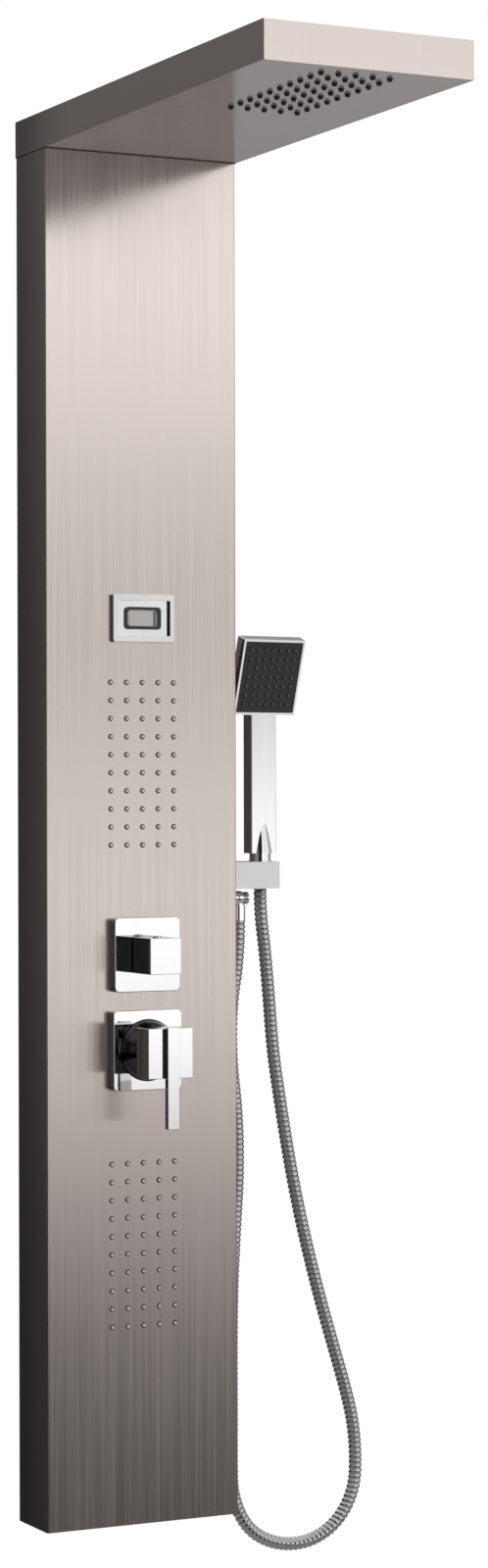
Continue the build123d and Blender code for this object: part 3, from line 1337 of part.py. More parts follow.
def handset_holder():
    """Square block on the side wall, with a conical seat that is open to the right."""
    half = HOLDER_DEPTH / 2
    across = (AXIS_Y - half, AXIS_Y + half)
    solid = block((SIDE, SIDE + HOLDER_REACH), across, (HOLDER_BASE, HOLDER_TOP))
    solid = fillet(solid.edges().filter_by(Axis.Z).group_by(Axis.X)[-1], HOLDER_EDGE)
    low = HOLDER_BASE - CUT_PAST
    high = HOLDER_TOP + CUT_PAST
    solid -= rod(
        UP,
        (AXIS_X, AXIS_Y, low),
        high - low,
        cone_radius(low, SEAT_GAP),
        cone_radius(high, SEAT_GAP),
    )
    slot = (AXIS_Y - HOLDER_SLOT / 2, AXIS_Y + HOLDER_SLOT / 2)
    solid -= block((AXIS_X, SIDE + HOLDER_REACH + CUT_PAST), slot, (low, high))
    for y, z in holder_screw_points():
        solid -= rod(RIGHT, (SIDE, y, z), HOLDER_SCREW_REACH, HOLDER_SCREW_RADIUS + FIT)
    return solid


def holder_screws():
    """Two screws from inside the column into the holder."""
    screws = []
    for y, z in holder_screw_points():
        head = (INNER_SIDE, y, z)
        length = SHEET + HOLDER_SCREW_REACH - HOLDER_SCREW_TIP_GAP
        screw = rod(RIGHT, head, length, HOLDER_SCREW_RADIUS)
        screws.append(screw + rod(LEFT, head, HOLDER_SCREW_HEAD, 2 * HOLDER_SCREW_RADIUS))
    return Compound(children=screws)


# ---------------------------------------------------------------- hand shower

def handset_place():
    """From the hand shower's own frame to the panel: its axis, turned away from the column."""
    return Pos(AXIS_X, AXIS_Y, HANDSET_BASE) * Rot(0, 0, HANDSET_TURN)


def spray_plane():
    """Plane of the spray face, in the hand shower's own frame."""
    tilt = math.radians(SPRAY_TILT)
    normal = (0, -math.cos(tilt), -math.sin(tilt))
    return Plane(origin=(0, -SPRAY_FORWARD, SPRAY_HEIGHT), x_dir=RIGHT, z_dir=normal)


def on_spray(up, depth):
    """(Y, Z) of a point on the spray head: up its face and behind it."""
    point = spray_plane().from_local_coords(Vector(0, up, -depth))
    return (point.Y, point.Z)


def spray_slab(side, corner, front, thickness):
    """Square slab of the spray head, from a depth behind its face backwards."""
    slab = extrude(RectangleRounded(side, side, corner), amount=-thickness)
    return spray_plane().location * (Pos(0, 0, -front) * slab)


def spray_shell():
    """Outside of the spray head, slightly wider at the back than at the face."""
    side = SPRAY_SIDE + 2 * SPRAY_FLARE
    face = RectangleRounded(SPRAY_SIDE, SPRAY_SIDE, SPRAY_CORNER)
    back = Pos(0, 0, -SPRAY_THICKNESS) * RectangleRounded(side, side, SPRAY_CORNER)
    return spray_plane().location * loft([face.face(), back.face()], ruled=True)


def handset_body():
    """Flat handle, conical boss, threaded neck and the shell of the spray head."""
    half = HANDLE_THICKNESS / 2
    edge = SPRAY_SIDE / 2
    inside = SPRAY_THICKNESS - SPRAY_BACK_WALL / 2
    lower = on_spray(SPRAY_ROOT_EDGE - edge, inside)
    outline = [
        (-half, 0),
        (half, 0),
        (half, lower[1] + SPRAY_ROOT_STEP),
        on_spray(SPRAY_ROOT, inside),
        lower,
        (-half, on_spray(SPRAY_RIM / 2 - edge, 0)[1]),
    ]
    profile = Plane.YZ * make_face(Polyline(*outline, close=True))
    handle = extrude(profile, amount=HANDLE_WIDTH / 2, both=True)
    handle = fillet(handle.edges().filter_by(Axis.Z), HANDLE_EDGE)
    body = handle + spray_shell()
    body += rod(UP, (0, 0, 0), BOSS_HEIGHT, BOSS_BASE_RADIUS, BOSS_TOP_RADIUS)
    neck_length = HANDSET_ABOVE_HOLDER - NUT_ABOVE_HOLDER + NECK_IN_NUT
    body += rod(DOWN, (0, 0, 0), neck_length, NECK_RADIUS)
    recess = SPRAY_SIDE - 2 * SPRAY_RIM
    pad_depth = FACE_RECESS + FACE_SHEET + PAD_SHEET
    body -= spray_slab(recess, SPRAY_INNER_CORNER, 0, pad_depth)
    water = SPRAY_THICKNESS - SPRAY_BACK_WALL - pad_depth
    body -= spray_slab(recess - 2 * SPRAY_LEDGE, SPRAY_INNER_CORNER, pad_depth, water)
    body -= rod(DOWN, (0, 0, NECK_BORE_DEPTH), neck_length + NECK_BORE_DEPTH, NECK_BORE)
    channel_half = CHANNEL_THICKNESS / 2
    across = (-CHANNEL_WIDTH / 2, CHANNEL_WIDTH / 2)
    water_end = on_spray(SPRAY_RIM + SPRAY_LEDGE - edge, pad_depth + water)
    top = water_end[1] + CHANNEL_RISE
    return body - block(across, (-channel_half, channel_half), (CHANNEL_FLOOR, top))


def handset_faceplate():
    """Black plate in the head's rim, bored for the nozzles."""
    side = SPRAY_SIDE - 2 * SPRAY_RIM - 2 * STUD_HOLE_GAP
    face = spray_slab(side, SPRAY_INNER_CORNER, FACE_RECESS, FACE_SHEET)
    plane = spray_plane()
    holes = [
        plane.location * rod(DOWN, (x, y, CUT_PAST), SPRAY_THICKNESS, SPRAY_BASE_RADIUS + FIT)
        for x, y in field_points(*SPRAY_FIELD)
    ]
    return face - holes


def handset_nozzles():
    """Silicone pad behind the plate, with its nozzles through it."""
    side = SPRAY_SIDE - 2 * SPRAY_RIM - 2 * STUD_HOLE_GAP
    pad_front = FACE_RECESS + FACE_SHEET
    pad = spray_slab(side, SPRAY_INNER_CORNER, pad_front, PAD_SHEET)
    reach = pad_front + SPRAY_PROUD
    plane = spray_plane()
    points = field_points(*SPRAY_FIELD)
    nozzle = rod(UP, (0, 0, -pad_front), reach, SPRAY_BASE_RADIUS, SPRAY_TIP_RADIUS)
    nozzle = fillet(nozzle.edges().sort_by(Axis.Z)[-1], SPRAY_TIP_ROUND)
    nozzles = [plane.location * (Pos(x, y, 0) * nozzle) for x, y in points]
    bores = [
        plane.location * rod(UP, (x, y, -pad_front - PAD_SHEET), reach + PAD_SHEET, SPRAY_BORE)
        for x, y in points
    ]
    return pad + nozzles - bores


# ---------------------------------------------------------------- all the pieces

def pieces():
    """Every node's name and shape."""
    places = field_places()
    rain_pad = nozzle_pad(
        RAIN_FIELD, RAIN_BASE_RADIUS, RAIN_TIP_RADIUS, SHEET + RAIN_PROUD, RAIN_BORE
    )
    jet_pad = nozzle_pad(
        JET_FIELD, JET_BASE_RADIUS, JET_TIP_RADIUS, SHEET + JET_PROUD, JET_BORE
    )
    handset = handset_place()
    return {
        "column_shell": column_shell(),
        "column_bottom_cover": column_bottom_cover(),
        "lower_wall_bracket": wall_bracket(LOWER_BOLT_HEIGHT),
        "upper_wall_bracket": wall_bracket(UPPER_BOLT_HEIGHT),
        "lower_hanger_rail": hanger_rail(LOWER_BOLT_HEIGHT),
        "upper_hanger_rail": hanger_rail(UPPER_BOLT_HEIGHT),
        "hanger_rivets": hanger_rivets(),
        "head_shell": head_shell(),
        "head_underside_plate": head_underside_plate(),
        "head_gusset_left": head_gusset(-1),
        "head_gusset_right": head_gusset(1),
        "stud_nuts": stud_nuts(),
        "rain_nozzle_pad": places["rain"].location * rain_pad,
        "rain_chamber": places["rain"].location * chamber(RAIN_FIELD, RAIN_CHAMBER_DEPTH, 0.0),
        "upper_jet_pad": places["upper"].location * jet_pad,
        "upper_jet_chamber": places["upper"].location
        * chamber(JET_FIELD, JET_CHAMBER_DEPTH, UPPER_TAIL_X),
        "lower_jet_pad": places["lower"].location * jet_pad,
        "lower_jet_chamber": places["lower"].location
        * chamber(JET_FIELD, JET_CHAMBER_DEPTH, -LOWER_TAIL_X),
        "display_bezel": display_bezel(),
        "display_housing": display_housing(),
        "display_window": display_window(),
        "display_lcd": display_lcd(),
        "temperature_probe": temperature_probe(),
        "diverter_plate": escutcheon(
            DIVERTER_PLATE_WIDTH, DIVERTER_PLATE_HEIGHT, DIVERTER_BOSS_RADIUS + FIT,
            DIVERTER_HEIGHT,
        ),
        "diverter_body": diverter_body(),
        "diverter_locknut": diverter_locknut(),
        "diverter_spindle": diverter_spindle(),
        "diverter_knob": diverter_knob(),
        "knob_set_screw": knob_set_screw(),
        "knob_plug": knob_plug(),
        "mixer_plate": escutcheon(
            MIXER_PLATE_WIDTH, MIXER_PLATE_HEIGHT, BALL_RADIUS + BALL_GAP, MIXER_HEIGHT
        ),
        "mixer_body": mixer_body(),
        "mixer_ring_nut": mixer_ring_nut(),
        "mixer_cartridge": mixer_cartridge(),
        "cartridge_nut": cartridge_nut(),
        "mixer_carrier": mixer_carrier(),
        "carrier_pin": carrier_pin(),
        "mixer_stem": mixer_stem(),
        "mixer_ball": mixer_ball(),
        "mixer_block": mixer_block(),
        "mixer_lever": mixer_lever(),
        "lever_screw": lever_screw(),
        "hot_inlet": supply_inlet(-1),
        "cold_inlet": supply_inlet(1),
        "mixer_link_pipe": mixer_link_pipe(),
        "rain_riser_hose": rain_riser_hose(),
        "upper_jet_hose": upper_jet_hose(),
        "lower_jet_hose": lower_jet_hose(),
        "handset_feed_hose": handset_feed_hose(),
        "outlet_elbow": outlet_elbow(),
        "outlet_locknut": outlet_locknut(),
        "hose_outlet_nut": hose_outlet_nut(),
        "shower_hose": shower_hose(),
        "hose_ferrule": hose_ferrule(),
        "hose_cone_nut": hose_cone_nut(),
        "handset_holder": handset_holder(),
        "holder_screws": holder_screws(),
        "handset_body": handset * handset_body(),
        "handset_faceplate": handset * handset_faceplate(),
        "handset_nozzles": handset * handset_nozzles(),
    }


def report_hose(tube):
    """Prints the shower hose's bends, length and volume."""
    points = hose_points()
    path = FilletPolyline(*points, radius=bend_radii(points))
    section = math.pi * SHOWER_HOSE_RADIUS**2
    print("hose bend radii:", [round(radius) for radius in bend_radii(points)])
    print("hose length:", round(path.length, 1))
    print("hose volume over section times length:", round(tube.volume / section / path.length, 5))


os.makedirs("parts", exist_ok=True)
shapes = pieces()
for name, shape in shapes.items():
    export_step(Pos(0, 0, -ORIGIN_HEIGHT) * shape, f"parts/{name}.step")
report_hose(shapes["shower_hose"])
print(len(shapes), "nodes")
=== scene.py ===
import json
import math

import bmesh
import bpy
import numpy as np
from mathutils import Matrix, Vector


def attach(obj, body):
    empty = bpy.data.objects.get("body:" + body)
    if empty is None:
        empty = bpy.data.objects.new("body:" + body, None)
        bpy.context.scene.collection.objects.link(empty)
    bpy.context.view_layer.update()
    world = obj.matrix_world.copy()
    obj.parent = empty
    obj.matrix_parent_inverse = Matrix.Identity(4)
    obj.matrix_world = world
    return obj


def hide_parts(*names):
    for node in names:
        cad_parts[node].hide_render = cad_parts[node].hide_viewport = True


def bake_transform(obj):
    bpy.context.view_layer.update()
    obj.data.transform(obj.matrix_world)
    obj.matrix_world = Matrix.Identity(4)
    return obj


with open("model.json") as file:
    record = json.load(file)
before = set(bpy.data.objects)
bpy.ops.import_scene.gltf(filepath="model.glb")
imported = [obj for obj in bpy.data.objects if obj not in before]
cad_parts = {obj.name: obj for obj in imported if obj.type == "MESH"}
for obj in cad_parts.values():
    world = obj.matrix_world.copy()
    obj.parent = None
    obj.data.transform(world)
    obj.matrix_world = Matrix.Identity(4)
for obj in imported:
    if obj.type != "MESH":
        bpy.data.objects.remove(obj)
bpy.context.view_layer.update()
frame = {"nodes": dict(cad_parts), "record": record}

# ---------------------------------------------------------------- driving values (metres)

MM = 0.001

CAMERA_PLACE = (-1.4435, -3.1404, 0.0024)
CAMERA_YAW = 26.795
CAMERA_ROLL = -0.14
CAMERA_LENS = 82.0

FLOOR_HEIGHT = -1.45
FLOOR_RADIUS = 2.6
FLOOR_SIDES = 64
FLOOR_COLOUR = (0.35, 0.35, 0.35)
FLOOR_ROUGHNESS = 0.9
FLOOR_GLOW = 0.72
FLOOR_FADE = 1.15

# Each lamp: place, sides and power in watts. Both face the origin.
KEY_LAMP = ((2.4, -3.7, 2.9), (2.6, 2.6), 34)
FILL_LAMP = ((-3.2, -1.6, 1.8), (1.2, 1.2), 6)

# The studio that metal reflects: shares over the azimuth in degrees, counted from +X
# towards +Y, and levels over the height of the direction, from -1 straight down to 1
# straight up.
STUDIO_PEAK = 2.0
FILL_LEVEL = 0.7
FRONT_AROUND = (
    (-180, 0.14),
    (-135, 0.14),
    (-127, 0.01),
    (-99, 0.01),
    (-95, 0.10),
    (-91, 1.00),
    (-84, 1.00),
    (-77, 0.66),
    (-71, 0.66),
    (-66, 0.82),
    (-60, 0.82),
    (-55, 0.66),
    (-49, 0.66),
    (-45, 0.80),
    (-37, 0.80),
    (-30, 0.58),
    (-20, 0.45),
    (0, 0.28),
    (20, 0.22),
    (34, 0.02),
    (178, 0.02),
    (180, 0.10),
)
FRONT_UPWARD = (
    (-1.00, 0.30),
    (-0.60, 0.05),
    (-0.29, 0.05),
    (-0.21, 0.07),
    (-0.17, 0.14),
    (-0.135, 0.31),
    (-0.105, 0.78),
    (-0.075, 1.36),
    (-0.04, 1.68),
    (-0.01, 1.50),
    (0.03, 0.92),
    (0.06, 0.82),
    (0.09, 1.34),
    (0.12, 1.92),
    (0.145, 2.00),
    (0.19, 1.62),
    (0.30, 1.30),
    (0.55, 0.20),
    (1.00, 0.0),
)
BACK_AROUND = (
    (30, 0.0),
    (48, 0.15),
    (56, 1.0),
    (80, 1.0),
    (95, 0.25),
    (105, 0.0),
)
BACK_UPWARD = (
    (-0.60, 0.05),
    (-0.24, 0.28),
    (-0.15, 0.28),
    (-0.11, 0.06),
    (0.10, 0.06),
    (0.30, 0.17),
    (0.60, 0.0),
)
REAR_AROUND = (
    (14, 0.0),
    (26, 0.35),
    (46, 0.35),
    (54, 0.0),
    (74, 0.0),
    (82, 1.0),
    (92, 1.0),
    (100, 0.0),
)
REAR_UPWARD = (
    (-0.60, 0.20),
    (-0.10, 0.38),
    (0.60, 0.45),
)
CEILING_AROUND = (
    (-180, 1.0),
    (180, 1.0),
)
CEILING_UPWARD = (
    (0.40, 0.0),
    (0.62, 0.62),
    (1.00, 0.80),
)
FLOOR_AROUND = (
    (-62, 0.0),
    (-50, 1.0),
    (-24, 1.0),
    (-12, 0.0),
)
FLOOR_UPWARD = (
    (-0.56, 0.0),
    (-0.48, 0.85),
    (-0.34, 0.85),
    (-0.29, 0.0),
)
LEFT_AROUND = (
    (95, 0.0),
    (110, 1.0),
    (124, 1.0),
    (134, 0.45),
    (170, 0.40),
    (180, 0.20),
)
LEFT_UPWARD = (
    (-0.25, 0.016),
    (-0.10, 0.030),
    (0.02, 0.050),
    (0.09, 0.064),
    (0.13, 0.076),
    (0.20, 0.125),
    (1.00, 0.25),
)

# The route of the shower hose: x and height of its control points, in one upright plane.
HOSE_PLANE = -0.038
HOSE_DIAMETER = 0.013
HOSE_ROUTE = (
    (0.1405, -0.0995),
    (0.1405, -0.1220),
    (0.1455, -0.1590),
    (0.1500, -0.2080),
    (0.1538, -0.2580),
    (0.1620, -0.3090),
    (0.1708, -0.3600),
    (0.1810, -0.4100),
    (0.1926, -0.4570),
    (0.2050, -0.5020),
    (0.2185, -0.5460),
    (0.2315, -0.5870),
    (0.2415, -0.6240),
    (0.2450, -0.6590),
    (0.2435, -0.6940),
    (0.2258, -0.7245),
    (0.1952, -0.7420),
    (0.1575, -0.7416),
    (0.1250, -0.7238),
    (0.1085, -0.6900),
    (0.1076, -0.6550),
    (0.1080, -0.6080),
    (0.1078, -0.5500),
    (0.1086, -0.4880),
    (0.1118, -0.4320),
    (0.1158, -0.3750),
    (0.1146, -0.3170),
    (0.1078, -0.2640),
    (0.1086, -0.2100),
    (0.1168, -0.1660),
    (0.1170, -0.1300),
)
RIB_PITCH = 5.0 * MM
RIB_DEPTH = 0.95 * MM
RIB_SAMPLES = 8
RIB_SHARE = 0.78
RIB_ROUNDNESS = 0.45
HOSE_SIDES = 20

# The thin black bead under the head: painted shade where the head steps out over the column.
SEAM_SIDE = 0.1001
SEAM_FRONT = -0.0681
SEAM_BACK = -0.002
SEAM_HEIGHT = 0.5996
SEAM_RADIUS = 0.45 * MM
SEAM_SIDES = 8

# The body jets: a black ring around each silicone nub, painted shade for the dark gap round it, as
# (radius, height) over the sheet.
JET_FACE = -0.068
JET_FIELDS = {"upper": 0.021905, "lower": -0.434305}
JET_COLUMNS = 5
JET_ROWS = 10
JET_PITCH = (16.5 * MM, 17.13 * MM)
JET_SIDES = 20
JET_SHADE_RING = ((2.65, 0.0), (2.5, 0.4), (2.1, 0.72), (1.3, 0.72))
JET_NUB = ((1.5, 0.6), (1.5, 1.6), (1.3, 1.95), (0.5, 1.95), (0.4, 1.1), (0.0, 1.1))

# Materials. Noise is read between NOISE_SPAN, and WALL_SHADE_REACH is how far in front of the
# wall the sides start to darken. The liquid crystal darkens over LCD_SHADE along x.
STEEL = (0.63, 0.560, 0.528)
# The underside's colour is painted light: paler than the column's steel, for the lit column front
# it mirrors.
UNDERSIDE_PAINTED_LIGHT = (0.80, 0.73, 0.71)
STEEL_METALLIC = 0.97
UNDERSIDE_METALLIC = 0.66
WALL_SHADE_REACH = 0.13
NOISE_SPAN = (0.3, 0.7)
FINE_RELIEF = 0.02 * MM
LCD_SHADE = (0.0108, 0.0112)
LCD_MIDDLE = (0.58, 0.56, 0.53)
LCD_EDGE = (0.16, 0.155, 0.15)
LCD_RELIEF = 0.002 * MM


# ---------------------------------------------------------------- camera, floor and light


def make_camera():
    """The camera, looking level at the column from its left."""
    data = bpy.data.cameras.new("camera")
    data.lens = CAMERA_LENS
    camera = bpy.data.objects.new("camera", data)
    bpy.context.scene.collection.objects.link(camera)
    yaw = math.radians(CAMERA_YAW)
    forward = Vector((math.sin(yaw), math.cos(yaw), 0))
    right = Vector((math.cos(yaw), -math.sin(yaw), 0))
    upright = Matrix((right, (0, 0, 1), -forward)).transposed().to_4x4()
    roll = Matrix.Rotation(math.radians(CAMERA_ROLL), 4, "Z")
    camera.matrix_world = Matrix.Translation(CAMERA_PLACE) @ upright @ roll
    bpy.context.scene.camera = camera


def ray_is(nodes, kind):
    """A value that is 1 for one kind of ray."""
    return nodes.new("ShaderNodeLightPath").outputs[kind]


def make_floor():
    """A pale round floor under the hung column, fading out at its rim."""
    mesh = bpy.data.meshes.new("floor")
    rim = [2 * math.pi * step / FLOOR_SIDES for step in range(FLOOR_SIDES)]
    corners = [(FLOOR_RADIUS * math.cos(a), FLOOR_RADIUS * math.sin(a), FLOOR_HEIGHT) for a in rim]
    mesh.from_pydata(corners, [], [tuple(range(FLOOR_SIDES))])
    floor = bpy.data.objects.new("floor", mesh)
    bpy.context.scene.collection.objects.link(floor)
    material = bpy.data.materials.new("floor")
    material.use_nodes = True
    nodes, links = material.node_tree.nodes, material.node_tree.links
    shader = nodes["Principled BSDF"]
    shader.inputs["Base Color"].default_value = (*FLOOR_COLOUR, 1)
    shader.inputs["Roughness"].default_value = FLOOR_ROUGHNESS
    shader.inputs["Emission Color"].default_value = (1, 1, 1, 1)
    glow = nodes.new("ShaderNodeMath")
    glow.operation = "MULTIPLY"
    links.new(ray_is(nodes, "Is Camera Ray"), glow.inputs[0])
    glow.inputs[1].default_value = FLOOR_GLOW
    links.new(glow.outputs[0], shader.inputs["Emission Strength"])
    length = nodes.new("ShaderNodeVectorMath")
    length.operation = "LENGTH"
    links.new(nodes.new("ShaderNodeTexCoord").outputs["Object"], length.inputs[0])
    fade = nodes.new("ShaderNodeMapRange")
    fade.interpolation_type = "SMOOTHSTEP"
    fade.inputs["From Min"].default_value = FLOOR_RADIUS
    fade.inputs["From Max"].default_value = FLOOR_RADIUS * FLOOR_FADE
    links.new(length.outputs["Value"], fade.inputs["Value"])
    mix = nodes.new("ShaderNodeMixShader")
    links.new(fade.outputs[0], mix.inputs[0])
    links.new(shader.outputs[0], mix.inputs[1])
    links.new(nodes.new("ShaderNodeBsdfTransparent").outputs[0], mix.inputs[2])
    links.new(mix.outputs[0], nodes["Material Output"].inputs["Surface"])
    mesh.materials.append(material)


def profile(nodes, links, value, stops, peak=1.0):
    """A smooth share of peak over value, through (value, level) stops."""
    low, high = stops[0][0], stops[-1][0]
    span = nodes.new("ShaderNodeMapRange")
    span.inputs["From Min"].default_value = low
    span.inputs["From Max"].default_value = high
    links.new(value, span.inputs["Value"])
    node = nodes.new("ShaderNodeValToRGB")
    elements = node.color_ramp.elements
    elements.remove(elements[1])
    for index, (place, level) in enumerate(stops):
        share = (place - low) / (high - low)
        element = elements.new(share) if index else elements[0]
        element.position = share
        element.color = (*[level / peak] * 3, 1)
    links.new(span.outputs[0], node.inputs[0])
    return node.outputs[0]


def combine(nodes, links, operation, first, second):
    """Two colours blended in full by operation."""
    node = nodes.new("ShaderNodeMix")
    node.data_type = "RGBA"
    node.blend_type = operation
    node.inputs["Factor"].default_value = 1
    links.new(first, node.inputs["A"])
    links.new(second, node.inputs["B"])
    return node.outputs["Result"]


def make_world():
    """White to the camera and through glass; a graded studio to metal, shaped for the
    photograph's view; and a plain fill to everything else."""
    world = bpy.data.worlds.new("studio")
    bpy.context.scene.world = world
    world.use_nodes = True
    nodes, links = world.node_tree.nodes, world.node_tree.links
    split = nodes.new("ShaderNodeSeparateXYZ")
    links.new(nodes.new("ShaderNodeTexCoord").outputs["Generated"], split.inputs[0])
    turn = nodes.new("ShaderNodeMath")
    turn.operation = "ARCTAN2"
    links.new(split.outputs["Y"], turn.inputs[0])
    links.new(split.outputs["X"], turn.inputs[1])
    degrees = nodes.new("ShaderNodeMath")
    degrees.operation = "DEGREES"
    links.new(turn.outputs[0], degrees.inputs[0])
    azimuth, height = degrees.outputs[0], split.outputs["Z"]
    walls = [
        combine(
            nodes, links, "MULTIPLY",
            profile(nodes, links, azimuth, around),
            profile(nodes, links, height, upward, STUDIO_PEAK),
        )
        for around, upward in (
            (FRONT_AROUND, FRONT_UPWARD),
            (BACK_AROUND, BACK_UPWARD),
            (LEFT_AROUND, LEFT_UPWARD),
            (FLOOR_AROUND, FLOOR_UPWARD),
            (REAR_AROUND, REAR_UPWARD),
            (CEILING_AROUND, CEILING_UPWARD),
        )
    ]
    room = walls[0]
    for wall in walls[1:]:
        room = combine(nodes, links, "ADD", room, wall)
    studio = nodes.new("ShaderNodeBackground")
    studio.inputs["Strength"].default_value = STUDIO_PEAK
    links.new(room, studio.inputs["Color"])
    fill = nodes.new("ShaderNodeBackground")
    fill.inputs["Color"].default_value = (1, 1, 1, 1)
    fill.inputs["Strength"].default_value = FILL_LEVEL
    white = nodes.new("ShaderNodeBackground")
    white.inputs["Color"].default_value = (1, 1, 1, 1)
    shine = nodes.new("ShaderNodeMixShader")
    links.new(ray_is(nodes, "Is Glossy Ray"), shine.inputs[0])
    links.new(fill.outputs[0], shine.inputs[1])
    links.new(studio.outputs[0], shine.inputs[2])
    mix = nodes.new("ShaderNodeMixShader")
    seen = nodes.new("ShaderNodeMath")
    seen.operation = "MAXIMUM"
    links.new(ray_is(nodes, "Is Camera Ray"), seen.inputs[0])
    links.new(ray_is(nodes, "Is Transmission Ray"), seen.inputs[1])
    links.new(seen.outputs[0], mix.inputs[0])
    links.new(shine.outputs[0], mix.inputs[1])
    links.new(white.outputs[0], mix.inputs[2])
    links.new(mix.outputs[0], nodes["World Output"].inputs["Surface"])


def make_lamp(name, place, size, power):
    """A soft rectangular lamp at place, facing the origin; metal doesn't show it."""
    data = bpy.data.lights.new(name, "AREA")
    data.shape = "RECTANGLE"
    data.size, data.size_y = size
    data.energy = power
    lamp = bpy.data.objects.new(name, data)
    bpy.context.scene.collection.objects.link(lamp)
    aim = (-Vector(place)).to_track_quat("-Z", "Y")
    lamp.matrix_world = Matrix.Translation(place) @ aim.to_matrix().to_4x4()
    lamp.visible_camera = False
    lamp.visible_glossy = False


def make_studio():
    """Floor, world and lamps, shown without a film look."""
    scene = bpy.context.scene
    scene.view_settings.view_transform = "Standard"
    make_floor()
    make_world()
    make_lamp("key", *KEY_LAMP)
    make_lamp("fill", *FILL_LAMP)


# ---------------------------------------------------------------- materials


class Finish:
    """A procedural material: a principled shader, with helpers that wire its texture."""

    def __init__(self, name, colour, roughness, metallic=0.0):
        self.material = bpy.data.materials.new(name)
        self.material.use_nodes = True
        self.nodes = self.material.node_tree.nodes
        self.links = self.material.node_tree.links
        self.shader = self.nodes["Principled BSDF"]
        self.colour = colour
        self.roughness = roughness
        self.shader.inputs["Metallic"].default_value = metallic
        self.place = self.nodes.new("ShaderNodeTexCoord").outputs["Object"]

    def noise(self, stretch, detail=2.0):
        """Noise over the object's own coordinates, at stretch cycles per metre on each axis."""
        scale = self.nodes.new("ShaderNodeMapping")
        scale.inputs["Scale"].default_value = stretch
        self.links.new(self.place, scale.inputs["Vector"])
        noise = self.nodes.new("ShaderNodeTexNoise")
        noise.inputs["Scale"].default_value = 1
        noise.inputs["Detail"].default_value = detail
        self.links.new(scale.outputs[0], noise.inputs["Vector"])
        return noise.outputs["Fac"]

    def noise_share(self, value):
        """A node that gives how far value is across the span of the noise."""
        span = self.nodes.new("ShaderNodeMapRange")
        span.inputs["From Min"].default_value = NOISE_SPAN[0]
        span.inputs["From Max"].default_value = NOISE_SPAN[1]
        self.links.new(value, span.inputs["Value"])
        return span

    def vary_colour(self, value, spread):
        """The base colour, darker and lighter by spread over the span of the noise."""
        span = self.noise_share(value)
        mix = self.nodes.new("ShaderNodeMix")
        mix.data_type = "RGBA"
        mix.inputs["A"].default_value = (*[c * (1 - spread) for c in self.colour], 1)
        mix.inputs["B"].default_value = (*[min(c * (1 + spread), 1) for c in self.colour], 1)
        self.links.new(span.outputs[0], mix.inputs["Factor"])
        self.links.new(mix.outputs["Result"], self.shader.inputs["Base Color"])

    def shade_sides(self, share):
        """Darkens the outer sides by share towards the wall, as the photograph's light does."""
        split = self.nodes.new("ShaderNodeSeparateXYZ")
        self.links.new(self.place, split.inputs[0])
        depth = self.nodes.new("ShaderNodeMapRange")
        depth.interpolation_type = "SMOOTHSTEP"
        depth.inputs["From Min"].default_value = -WALL_SHADE_REACH
        depth.inputs["From Max"].default_value = 0
        depth.inputs["To Max"].default_value = share
        self.links.new(split.outputs["Y"], depth.inputs["Value"])
        facing = self.nodes.new("ShaderNodeSeparateXYZ")
        self.links.new(self.nodes.new("ShaderNodeTexCoord").outputs["Normal"], facing.inputs[0])
        side = self.nodes.new("ShaderNodeMath")
        side.operation = "ABSOLUTE"
        self.links.new(facing.outputs["X"], side.inputs[0])
        loss = self.nodes.new("ShaderNodeMath")
        loss.operation = "MULTIPLY"
        self.links.new(depth.outputs[0], loss.inputs[0])
        self.links.new(side.outputs[0], loss.inputs[1])
        rest = self.nodes.new("ShaderNodeMath")
        rest.operation = "SUBTRACT"
        rest.inputs[0].default_value = 1
        self.links.new(loss.outputs[0], rest.inputs[1])
        socket = self.shader.inputs["Base Color"]
        mix = self.nodes.new("ShaderNodeVectorMath")
        mix.operation = "SCALE"
        self.links.new(socket.links[0].from_socket, mix.inputs[0])
        self.links.new(rest.outputs[0], mix.inputs["Scale"])
        self.links.new(mix.outputs[0], socket)

    def vary_roughness(self, value, spread):
        """The roughness, lower and higher by spread over the span of the noise."""
        span = self.noise_share(value)
        span.inputs["To Min"].default_value = max(self.roughness - spread, 0)
        span.inputs["To Max"].default_value = self.roughness + spread
        self.links.new(span.outputs[0], self.shader.inputs["Roughness"])

    def emboss(self, value, depth, strength=1.0):
        """Fine relief, depth metres high."""
        bump = self.nodes.new("ShaderNodeBump")
        bump.inputs["Distance"].default_value = depth
        bump.inputs["Strength"].default_value = strength
        self.links.new(value, bump.inputs["Height"])
        self.links.new(bump.outputs[0], self.shader.inputs["Normal"])


def brushed(name, colour, roughness, stretch, spread=0.06, anisotropic=0.6, side_shade=0.0):
    """Satin steel with long fine scratches along the axis that stretch leaves smooth."""
    finish = Finish(name, colour, roughness, metallic=STEEL_METALLIC)
    grain = finish.noise(stretch, detail=4)
    finish.vary_colour(grain, spread)
    if side_shade:
        finish.shade_sides(side_shade)
    finish.vary_roughness(grain, 0.04)
    finish.shader.inputs["Anisotropic"].default_value = anisotropic
    tangent = finish.nodes.new("ShaderNodeTangent")
    tangent.axis = "Z"
    finish.links.new(tangent.outputs[0], finish.shader.inputs["Tangent"])
    finish.emboss(grain, FINE_RELIEF, 0.25)
    return finish.material


def cast_chrome(name, colour, roughness, stretch, spread):
    """Chrome over a casting that is polished by hand, with faint marks along one way."""
    finish = Finish(name, colour, roughness, metallic=1.0)
    marks = finish.noise(stretch, detail=4)
    finish.vary_colour(marks, spread)
    finish.vary_roughness(marks, 0.03)
    finish.emboss(marks, FINE_RELIEF, 0.2)
    return finish.material


